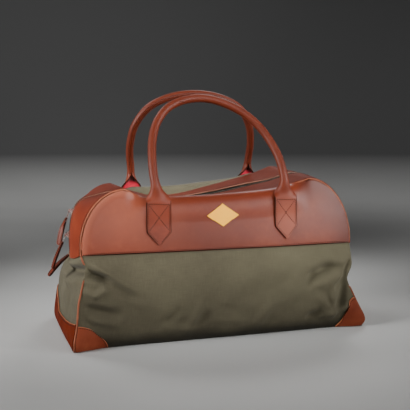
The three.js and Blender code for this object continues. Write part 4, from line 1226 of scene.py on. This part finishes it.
class Handle:
    """One handle's strip, measured from the left tab's tip to the right one's."""

    def __init__(self, side):
        self.panel = PANELS[side]
        left, right = [self.tab_places(tab) for tab in TABS if tab["side"] == side]
        grip = np.array(GRIPS[side], float) * [1, self.panel.facing, 1]
        self.line = route(np.concatenate([left, grip, right[::-1]]))
        self.at = lengths(self.line)
        self.length = self.at[-1]
        self.tangent = unit(np.gradient(self.line, axis=0))

    def tab_places(self, tab):
        """Places up the middle of a tab, from its tip."""
        under = LEATHER_OUT + LAYER_GAP if self.panel is FRONT else 2 * LAYER_GAP
        out = self.panel.facing * (under + STRIP_ROWS["wall"][0])
        z = np.linspace(tab["tip"], tab["top"], TAB_KNOTS)
        standing = max(TAB_STANDING, tab["top"] - TAB_CURL)
        skin = self.panel.at(np.full(TAB_KNOTS, float(tab["x"])), np.minimum(z, standing))
        return vector(tab["x"], skin[:, 1] + out, z)

    def from_tip(self, end, distance):
        """A distance from the left or the right tip, as one along the whole strip."""
        return distance if end == "left" else self.length - distance

    def point(self, distance, share, depth):
        """A place on the rolled strip: a share across it and a depth below its outer face."""
        distance, share = np.broadcast_arrays(np.asarray(distance, float), share)
        near = np.minimum(distance, self.length - distance)
        roll = STRIP["roll"](near)
        width = np.interp(near, STRIP_ROWS["distance"], STRIP_ROWS["width"])
        tangent = unit(read_along(self.at, self.tangent, distance))
        lean = np.array([0, self.panel.facing, GRIP_LEAN])
        out = unit(lean - tangent * (tangent @ lean)[..., None])
        side = np.cross(tangent, out)
        place = read_along(self.at, self.line, distance)
        place = place + out * (GRIP_RADIUS * smooth(0, 1, roll))[..., None]
        turn = 2 * math.pi * roll
        radius = width / turn
        inner = radius - depth
        angle = turn * share
        place = place + side * (inner * np.sin(angle))[..., None]
        return place + out * (inner * np.cos(angle) - radius)[..., None]

    def wall(self, distance):
        """The thickness of the leather."""
        return STRIP["wall"](np.minimum(distance, self.length - distance))


HANDLES = {side: Handle(side) for side in PANELS}
for side, handle in HANDLES.items():
    print("handle", side, "strip", round(handle.length), "mm")

# %% [markdown]
# ## Skin and lining of the handles
# Rings round the strip's section, from tip to tip, make the skin. Its two long edges are painted
# dark, and on the tabs the paint shows on the face too, where it also stands for the shade along the
# tab's edge. The flare under each end of a grip is open below, and a red lining, a small sheet just
# inside the strip, shows in it.

# %% Handles and linings
TAB_POINT = 21  # from a tab's tip to its full width
GRIP_START = 121
PAINTED_EDGE = 72  # from a tab's tip, as far as the painted edge shows on its face, also as painted shade along the edge
LINING = {"from": 72, "to": 97, "half": 0.46, "depth": 1.1, "thickness": 0.8, "fill": 4.5, "fade": 14}
OUTER_SHARES = np.linspace(-0.5, 0.5, 37)
INNER_SHARES = np.linspace(0.5, -0.5, 29)
foot = np.concatenate([np.linspace(0, TAB_POINT, 12), np.linspace(TAB_POINT + 1, GRIP_START - 3, 56)])
for side, handle in HANDLES.items():
    grip = np.linspace(GRIP_START, handle.length - GRIP_START, 110)
    distance = np.concatenate([foot, grip, handle.length - foot[::-1]])[:, None]
    outer = handle.point(distance, OUTER_SHARES[None, :], 0)
    inner = handle.point(distance, INNER_SHARES[None, :], handle.wall(distance))
    rings = np.concatenate([outer, inner], axis=1)
    count = rings.shape[1]
    kinds = np.zeros((rings.shape[0] - 1, count), int)
    kinds[:, [len(OUTER_SHARES) - 1, count - 1]] = 1
    # dark edge paint on the tabs' faces, which also stands for the shade along their edges
    on_tab = np.minimum(distance, handle.length - distance)[1:, 0] < PAINTED_EDGE
    kinds[np.ix_(on_tab, [0, len(OUTER_SHARES) - 2])] = 1
    piece = make_object(f"handle_roll_{side}", rings.reshape(-1, 3), ring_faces(len(rings), count),
                        [handle_leather, dark_edge], [*kinds.ravel(), 1, 1])
    sew_on(round_edges(piece), "leather", f"handle_{side}")
    for end in ENDS:
        low, high = LINING["from"], LINING["to"]
        span = (low, high) if end == "left" else (handle.length - high, handle.length - low)
        up = 1 if end == "left" else -1
        d = np.linspace(*span[::up], 12)[:, None]
        share = np.linspace(-LINING["half"], LINING["half"], 17)[None, ::up]
        near = np.minimum(d, handle.length - d)
        fill = LINING["fill"] * smooth(high, high - LINING["fade"], near)
        depth = handle.wall(d) + LINING["depth"] + fill * (1 - (share / LINING["half"]) ** 2)
        grid = handle.point(d, share, depth)
        lining = sheet(f"red_lining_{side}_{end}", grid, LINING["thickness"], 0, lining_cloth, lining_cloth)
        sew_on(lining, "lining", f"lining_{side}_{end}")
print("linings", len(HANDLES) * len(ENDS))

# %% [markdown]
# ## Label
# A diamond of natural leather is sewn on the middle of the yoke. A flat diamond would cut into the
# yoke's bulge, so its grid is laid on the yoke's own surface. It stays plain.

# %% Label
LABEL = {"x": -3, "z": 212, "width": 57, "height": 38, "thickness": 1.6}
steps = np.linspace(-1, 1, 25)
a, b = np.meshgrid(steps, steps, indexing="ij")
label_grid = FRONT.at(LABEL["x"] + (a + b) * LABEL["width"] / 4, LABEL["z"] + (b - a) * LABEL["height"] / 4)
under = LEATHER_OUT + LAYER_GAP
label = sheet("label_diamond", label_grid, under + LABEL["thickness"], under, label_leather, label_leather)
sew_on(label, "label", "label")
print("label", LABEL["width"], "by", LABEL["height"], "mm")

# %% [markdown]
# ## Zip
# The zip is a dark woven tape with two rows of metal teeth that grip each other. The tape is a sheet
# along the middle of the band. The teeth have the dull metal and the sliders the bright one.

# %% Metal and zip tape
METAL_MARKS = 700.0  # noise cells in a metre
METAL_CLOUDS = 120.0
TARNISH = srgb(150, 148, 144)
ZIP_TAPE_HALF = 12


def metal_finish(name, colour, roughness):
    """Cast metal, a little tarnished and marked by use."""
    finish = Finish(name)
    marks = finish.noise(METAL_MARKS, 3.0)
    clouds = finish.noise(METAL_CLOUDS, 2.0)
    tint = finish.mix(finish.ramp(clouds, 0.35, 0.7) * 0.25, colour, TARNISH)
    return finish.surface({
        "Base Color": tint,
        "Metallic": 1.0,
        "Roughness": roughness + (marks - 0.5) * 0.18,
        "Normal": finish.bump(marks, 0.0001, 0.08),
    })


metal = metal_finish("bright metal", srgb(214, 214, 212), 0.26)
tooth_metal = metal_finish("dull metal", srgb(74, 70, 63), 0.42)
top_half = half_width(top_lines)
tape_w = np.linspace(-ZIP_TAPE_HALF, ZIP_TAPE_HALF, 9)[None, :] / top_half[:, None]
tape_grid = across([line[:, None] for line in top_lines], tape_w)
sew_on(sheet("zip_band", tape_grid, 0, -CANVAS, tape_cloth, tape_cloth), "tape", "zip_tape")
print("zip tape", 2 * ZIP_TAPE_HALF, "mm wide")

# %% [markdown]
# ## Zip teeth
# Each tooth is a small block with its top edges drawn in. It reaches just past the middle line, and
# the two rows are half a pitch apart. All the teeth are one mesh: hundreds of objects would be slow.

# %% Zip teeth
TOOTH = {"pitch": 2.7, "length": 1.5, "reach": 0.7, "out": 3.0, "foot": 0.35, "height": 2.6,
         "shoulder": 0.7, "drawn_in": 0.35}
zip_line = top_lines[1]
zip_at = lengths(zip_line)
zip_tangent = unit(np.gradient(zip_line, axis=0))
zip_across = unit(top_lines[2] - top_lines[0])
zip_out = unit(np.cross(zip_tangent, zip_across))


def tooth_corners(distance, sign):
    """Four corners at a tooth's foot, four at its shoulder and four at its top."""
    place, tangent = read_along(zip_at, zip_line, distance), read_along(zip_at, zip_tangent, distance)
    side, out = read_along(zip_at, zip_across, distance) * sign, read_along(zip_at, zip_out, distance)
    shoulder = TOOTH["height"] * TOOTH["shoulder"]
    corners = []
    for height, shrink in [(TOOTH["foot"], 0.0), (shoulder, 0.0), (TOOTH["height"], TOOTH["drawn_in"])]:
        for a, b in [(-1, 0), (1, 0), (1, 1), (-1, 1)]:
            along = a * (TOOTH["length"] / 2 - shrink)
            reach = TOOTH["out"] - shrink if b else -TOOTH["reach"] + shrink
            corners.append(place + tangent * along + side * reach + out * height)
    return corners


tooth_faces = [(0, 3, 2, 1), (8, 9, 10, 11)]
for low in (0, 4):
    tooth_faces += [(low + k, low + (k + 1) % 4, low + 4 + (k + 1) % 4, low + 4 + k) for k in range(4)]
tooth_points, all_faces = [], []
count = int(zip_at[-1] / TOOTH["pitch"]) - 1
for k in range(2 * count):
    sign = 1 if k % 2 else -1
    base = len(tooth_points)
    tooth_points += tooth_corners((k + 1) * TOOTH["pitch"] / 2, sign)
    order = 1 if sign > 0 else -1
    all_faces += [[base + i for i in face[::order]] for face in tooth_faces]
teeth = make_object("zip_chain", np.array(tooth_points), all_faces, [tooth_metal])
teeth.data.polygons.foreach_set("use_smooth", [False] * len(teeth.data.polygons))
sew_on(teeth, "metal", "zip_teeth")
print("zip", round(zip_at[-1]), "mm with", 2 * count, "teeth")

# %% [markdown]
# ## Sliders and pulls
# Sliders and pullers are cast metal with the right shape already, so the CAD solids stay, with a
# bevel to break their edges. The leather straps that hang from them, and the two that close the
# zip's ends, twist and bow a little, as worn leather does, so they are made anew.

# %% Sliders and straps
METAL_ROUND = 0.3
METAL_STEPS = 3
for name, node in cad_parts.items():
    if name.startswith(("slider_", "puller_")):
        node.data.materials.clear()
        node.data.materials.append(metal)
        round_edges(node, METAL_ROUND, METAL_STEPS)

STRAPS = named_rows(
    ["name", "node", "body", "x", "y", "z", "lean", "start", "length", "width", "twist", "bow"],
    [
        ["strap_upper", "pull_tab_upper", "pull_upper", -245.6, 5.1, 216.7, 17, 13.5, 50, 9, 48, 2.5],
        ["strap_lower", "pull_tab_lower", "pull_lower", -252.9, -5.0, 175.6, 22, 13.5, 50, 9, 14, 1.5],
        ["strap_zip_left", "zip_end_left", "bag", -248, 0, 139, 45, 0, 50, 11, 16, 2],
        ["strap_zip_right", "zip_end_right", "bag", 251, 0, 139, -45, 0, 50, 11, -10, 2],
    ],
)
STRAP_THICKNESS = 2.8
TWISTED = 0.55  # share of a strap's length over which it twists
STRAP_BLUNT = 0.985  # the round end stops just short of a point
strap_share = np.linspace(-0.5, 0.5, 13)


def strap_place(row, down, share, inset=0.0):
    """A place on the middle of a strap: a distance down it and a share across it."""
    half = row["width"] / 2 - inset
    end = np.clip((down - (row["length"] - row["width"] / 2)) / half, 0, 1)
    wide = 2 * half * np.sqrt(1 - end**2)
    turn = math.radians(row["twist"]) * smooth(0, TWISTED, down / row["length"])
    bow = -np.sign(row["lean"]) * row["bow"] * np.sin(math.pi * down / row["length"])
    x = bow - wide * share * np.sin(turn)
    y = wide * share * np.cos(turn)
    z = -row["start"] - down
    lean = math.radians(row["lean"])
    return vector(
        row["x"] + x * math.cos(lean) + z * math.sin(lean),
        row["y"] + y,
        row["z"] - x * math.sin(lean) + z * math.cos(lean),
    )


def strap_steps(row, first, straight, rounded, reach):
    """Distances down a strap, in even steps and then closer together in its round end."""
    stop = row["length"] - row["width"] / 2
    tip = reach * np.sin(np.linspace(0, math.pi / 2, rounded)[1:])
    return np.concatenate([np.linspace(first, stop, straight), stop + tip])


for row in STRAPS:
    down = strap_steps(row, 0, 26, 9, row["width"] / 2 * STRAP_BLUNT)
    grid = strap_place(row, down[:, None], strap_share[None, :])
    half = STRAP_THICKNESS / 2
    piece = sheet(row["name"], grid, half, -half, handle_leather, dark_edge)
    sew_on(piece, "leather", row["node"], body=row["body"])
print("straps", len(STRAPS))

# %% [markdown]
# ## Stitches
# A stitch is a short length of waxed thread that dips into the leather at both ends. One little
# arched cord, repeated along a line, makes a row. A bump could draw flat stitches, but these catch
# the light and cast a small shade.

# %% Thread and rows of stitches
STITCH = {"pitch": 3.6, "length": 2.7, "radius": 0.58, "rise": 0.36, "sink": 0.45, "thin": 0.45,
          "steps": 5, "sides": 6}
THREAD_TWIST = 2600.0  # noise cells in a metre


def thread_finish(name, colour, dark):
    """Waxed thread, in two tones of its twist."""
    finish = Finish(name)
    twist = finish.noise(THREAD_TWIST, 2.0)
    return finish.surface({
        "Base Color": finish.mix(finish.ramp(twist, 0.35, 0.65), dark, colour),
        "Roughness": 0.7,
        "Specular IOR Level": 0.1,
        "Normal": finish.bump(twist, 0.0001, 0.3),
    })


thread = thread_finish("brown thread", srgb(56, 27, 18), srgb(40, 19, 13))


def stitch_rows(name, rows, body="bag"):
    """Stitches along lines of places, each with the normals of the face that it lies on."""
    share = np.linspace(-0.5, 0.5, STITCH["steps"])
    turn = np.linspace(0, 2 * math.pi, STITCH["sides"], endpoint=False)
    arch = STITCH["rise"] - (STITCH["rise"] + STITCH["sink"]) * (2 * share) ** 4
    thick = STITCH["radius"] * (1 - STITCH["thin"] * (2 * share) ** 4)
    one = [face[::-1] for face in ring_faces(len(share), len(turn))]
    points, faces = [], []
    for line, normals in rows:
        at = lengths(line)
        count = max(int(at[-1] / STITCH["pitch"]), 1)
        for k in range(count):
            middle = (k + 0.5) * at[-1] / count
            place = read_along(at, line, middle + share * STITCH["length"])
            up = unit(read_along(at, normals, middle))
            tangent = unit(place[-1] - place[0])
            side = np.cross(up, tangent)
            ring = np.cos(turn)[:, None] * side + np.sin(turn)[:, None] * up
            cord = place[:, None] + arch[:, None, None] * up + thick[:, None, None] * ring
            faces += [face + len(points) * len(share) * len(turn) for face in one]
            points.append(cord.reshape(-1, 3))
    piece = make_object(name, np.concatenate(points), faces, [thread])
    sew_on(piece, "leather", body=body)
    print(name, len(points), "stitches")


print("thread", thread.name)

# %% [markdown]
# ## Stitches on the handles and straps
# Each tab of a handle has a box of stitches that follows its edge, with a cross in it, and the roll
# is closed by a row along each of its edges. A strap has a row along both edges on both faces.

# %% Stitches on the handles and straps
def handle_row(handle, distance, share):
    """Places on a handle's outer face, with their normals."""
    line = handle.point(distance, share, 0)
    return line, unit(line - handle.point(distance, share, 1.0))


GRIP_STITCH = {"from": 104, "share": 0.44}  # along both edges of the roll, on its inner side
TAB_STITCH = {"inset": 3.0, "tip": 4.5, "shoulder": 22.0, "top": 67.0, "clear": 2.0, "cross": 0.92}
for side, handle in HANDLES.items():
    rows = []
    for end in ENDS:
        d = np.linspace(TAB_STITCH["tip"], TAB_STITCH["top"], 40)
        width = np.interp(d, STRIP_ROWS["distance"], STRIP_ROWS["width"])
        inset = np.maximum(0.5 - TAB_STITCH["inset"] / width, 0)
        for sign in (-1, 1):
            rows.append(handle_row(handle, handle.from_tip(end, d), sign * inset))
        top = handle.from_tip(end, np.full(20, TAB_STITCH["top"]))
        rows.append(handle_row(handle, top, np.linspace(-1, 1, 20) * inset[-1]))
        cross_low = TAB_STITCH["shoulder"] + TAB_STITCH["clear"]
        cross_high = TAB_STITCH["top"] - TAB_STITCH["clear"]
        cross = handle.from_tip(end, np.linspace(cross_low, cross_high, 30))
        slant = np.linspace(-1, 1, 30) * inset[-1] * TAB_STITCH["cross"]
        for sign in (-1, 1):
            rows.append(handle_row(handle, cross, sign * slant))
    grip = np.linspace(GRIP_STITCH["from"], handle.length - GRIP_STITCH["from"], 220)
    for sign in (-1, 1):
        rows.append(handle_row(handle, grip, np.full(220, sign * GRIP_STITCH["share"])))
    stitch_rows(f"stitches_handle_{side}", rows)


STRAP_STITCH = 1.7  # from a strap's edge to its stitches


def surface_row(grid, normals, offset):
    """Places at an offset from a surface, with their normals."""
    return grid + normals * offset, normals


for row in STRAPS:
    down = strap_steps(row, STRAP_STITCH, 30, 10, row["width"] / 2 - STRAP_STITCH)
    rows = []
    for share in (-0.5, 0.5):
        line = strap_place(row, down, share, STRAP_STITCH)
        other = strap_place(row, down, -share, STRAP_STITCH)
        normals = unit(np.cross(np.gradient(line, axis=0), (other - line) * -np.sign(share)))
        for face in (-1, 1):
            rows.append(surface_row(line[:-2], face * normals[:-2], STRAP_THICKNESS / 2))
    stitch_rows(f"stitches_{row['name']}", rows, row["body"])

# %% [markdown]
# ## Stitches on the body
# A row runs along the lower edge of the yoke, along both sides of the zip and inside the curved edge
# of each patch. The first two follow a row of the piece's own grid, so they keep to its shape.

# %% Stitches on the body
GRID_ROW = 2  # row that the stitches follow, counted in from the edge
YOKE_KEPT = slice(3, -3)  # without the ends of a row
ZIP_KEPT = slice(2, -2)
ZIP_STITCH = 0.6  # share of the way from a strip's edge to that row
PATCH_STITCH = 3.2  # from a patch's edge to its stitches
PATCH_FROM = 0.05  # share of a patch's side at which they begin
END_REACH = 0.97  # share of an end's half width that they reach

yoke_line = yoke_grid[YOKE_KEPT, GRID_ROW]
rows = [surface_row(yoke_line, normals_of(yoke_grid)[YOKE_KEPT, GRID_ROW], LEATHER_OUT)]
for side, grid in strip_grids.items():
    edge, column = (-1, -1 - GRID_ROW) if side == "front" else (0, GRID_ROW)
    line = lerp(grid[:, edge], grid[:, column], ZIP_STITCH)
    rows.append(surface_row(line[ZIP_KEPT], normals_of(grid)[ZIP_KEPT, column], LEATHER_OUT))
stitch_rows("stitches_body", rows)

rows = []
for row in PATCHES:
    reach = 1 - PATCH_STITCH / row["along"]
    go = np.linspace(PATCH_FROM, 1, 40) * reach
    a = np.concatenate([np.full(40, reach), go[-2::-1]])
    b = np.concatenate([go, np.full(39, reach)])
    line, normals = patch_place(row, a, b)
    rows.append(surface_row(line, normals, LEATHER_OUT))
for side, end in ENDS.items():
    share = np.linspace(-END_REACH, END_REACH, 120)
    z = end_patch_top(share) - PATCH_STITCH
    line = end_place(end, z, share)
    above = end_place(end, z + 1, share)
    normals = unit(np.cross(np.gradient(line, axis=0), above - line))
    normals *= np.sign(normals[:, :1] * end)
    rows.append(surface_row(line, normals, LEATHER_OUT))
stitch_rows("stitches_patches", rows)

# %% [markdown]
# ## Floor
# The bag stands on a pale floor, which turns up into a grey wall all round. The wall is the backdrop,
# and its tone shows in the leather's soft reflections. A bowl of rings makes both without a corner.

# %% Floor
WALL_START = 0.25  # metres up at which the floor has turned from pale to grey
WALL_GREY = srgb(84, 84, 84)


def floor_finish():
    """Pale on the ground, grey on the wall."""
    finish = Finish("pale floor")
    cloud = finish.noise(2.0, 2.0)
    colour = finish.mix(finish.ramp(cloud, 0.3, 0.7), srgb(184, 184, 182), srgb(190, 190, 188))
    up = finish.part(finish.place(), 2)
    colour = finish.mix(finish.ramp(up, 0.0, WALL_START), colour, WALL_GREY)
    return finish.surface({"Base Color": colour, "Roughness": 0.9})


BACKDROP = {"flat": 2400.0, "radius": 2200.0, "height": 4200.0, "sides": 96}
sweep = np.linspace(0, math.pi / 2, 24)
ring_out = np.concatenate([BACKDROP["flat"] + BACKDROP["radius"] * np.sin(sweep),
                           [BACKDROP["flat"] + BACKDROP["radius"]]])
ring_up = np.concatenate([BACKDROP["radius"] * (1 - np.cos(sweep)), [BACKDROP["height"]]])
turn = np.linspace(0, 2 * math.pi, BACKDROP["sides"], endpoint=False)[:, None]
bowl = vector(ring_out * np.cos(turn), ring_out * np.sin(turn), ring_up).reshape(-1, 3)
number = np.arange(len(bowl)).reshape(len(turn), -1)
ahead = np.roll(number, -1, axis=0)
quads = np.stack([number[:, :-1], number[:, 1:], ahead[:, 1:], ahead[:, :-1]], -1).reshape(-1, 4)
floor = make_object("floor", bowl, [*quads, number[:, 0]], [floor_finish()])
floor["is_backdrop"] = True
print("floor of", len(bowl), "places")

# %% [markdown]
# ## Light
# Narrow soft lights from the right, the front and the left end draw the leather's sheen without hard
# shadows. One above opens up the top, two behind show the back, and four light the wall.

# %% Light
def soft_light(name, place, target, size, watts, spread):
    """A rectangle of light that looks from one place to another."""
    light = bpy.data.lights.new(name, "AREA")
    light.shape = "RECTANGLE"
    light.size, light.size_y = size
    light.energy = watts
    light.spread = math.radians(spread)
    lamp = bpy.data.objects.new(name, light)
    lamp.location = place
    away = lamp.location - type(lamp.location)(target)
    lamp.rotation_euler = away.to_track_quat("Z", "Y").to_euler()
    bpy.context.scene.collection.objects.link(lamp)


LIGHTS = named_rows(["name", "place", "target", "size", "watts", "spread"], [
    ["key", (1.0, -1.45, 0.72), (0.13, -0.1, 0.38), (0.9, 0.5), 1.5, 24],
    ["side", (1.55, -1.05, 0.75), (0.15, -0.1, 0.36), (0.6, 0.6), 1.3, 30],
    ["front", (-0.35, -1.75, 0.78), (-0.15, -0.1, 0.42), (0.7, 0.5), 0.85, 24],
    ["fill", (-1.8, -0.25, 0.7), (-0.2, 0, 0.31), (0.8, 0.5), 3.6, 36],
    ["top", (0.05, -0.7, 1.7), (0, -0.14, 0.3), (1.7, 0.6), 0.35, 50],
    ["back_left", (-0.8, 1.2, 1.7), (-0.08, 0.13, 0.16), (0.8, 0.5), 1.1, 40],
    ["back_right", (0.8, 1.2, 1.7), (0.08, 0.13, 0.16), (0.8, 0.5), 1.1, 40],
])
WALL_LIGHT = {"out": 1.6, "up": 2.6, "wall": 4.0, "aim": 0.9, "size": (3.0, 1.0),
              "watts": 30, "spread": 140}
STUDIO_LIGHT = 0.14
for row in LIGHTS:
    soft_light(**row)
for degrees in (0, 90, 180, 270):
    way = np.array([math.cos(math.radians(degrees)), math.sin(math.radians(degrees)), 0])
    soft_light(f"wall_{degrees}", way * WALL_LIGHT["out"] + [0, 0, WALL_LIGHT["up"]],
               way * WALL_LIGHT["wall"] + [0, 0, WALL_LIGHT["aim"]], WALL_LIGHT["size"],
               WALL_LIGHT["watts"], WALL_LIGHT["spread"])

world = bpy.data.worlds.new("studio")
bpy.context.scene.world = world
world.use_nodes = True
background = world.node_tree.nodes["Background"]
background.inputs["Color"].default_value = srgb(200, 200, 202)
background.inputs["Strength"].default_value = STUDIO_LIGHT
print("lights", len(bpy.data.lights))

# %% [markdown]
# ## Camera
# The camera stands where the photographer stood, a little to the left and just above the bag. A longer
# lens from further away would look much the same, so its place and its lens belong together.

# %% Camera
CAMERA = {"place": (-0.3755, -1.192, 0.338), "tilt": 84.57, "turn": -17.5, "lens": 59.7, "sensor": 36}
camera = bpy.data.cameras.new("camera")
camera.sensor_width = CAMERA["sensor"]
camera.lens = CAMERA["lens"]
camera_object = bpy.data.objects.new("camera", camera)
camera_object.location = CAMERA["place"]
camera_object.rotation_euler = (math.radians(CAMERA["tilt"]), 0, math.radians(CAMERA["turn"]))
bpy.context.scene.collection.objects.link(camera_object)
bpy.context.scene.camera = camera_object
print("camera", [round(v, 3) for v in camera_object.location], "lens", round(camera.lens, 1), "mm")

# %% [markdown]
# ## Size and finish
# The dressed bag must keep the CAD model's size, so the box round its visible pieces is printed.

# %% Sizes and finish
low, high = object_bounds()
print("visual box", [round(v, 4) for v in low], [round(v, 4) for v in high])
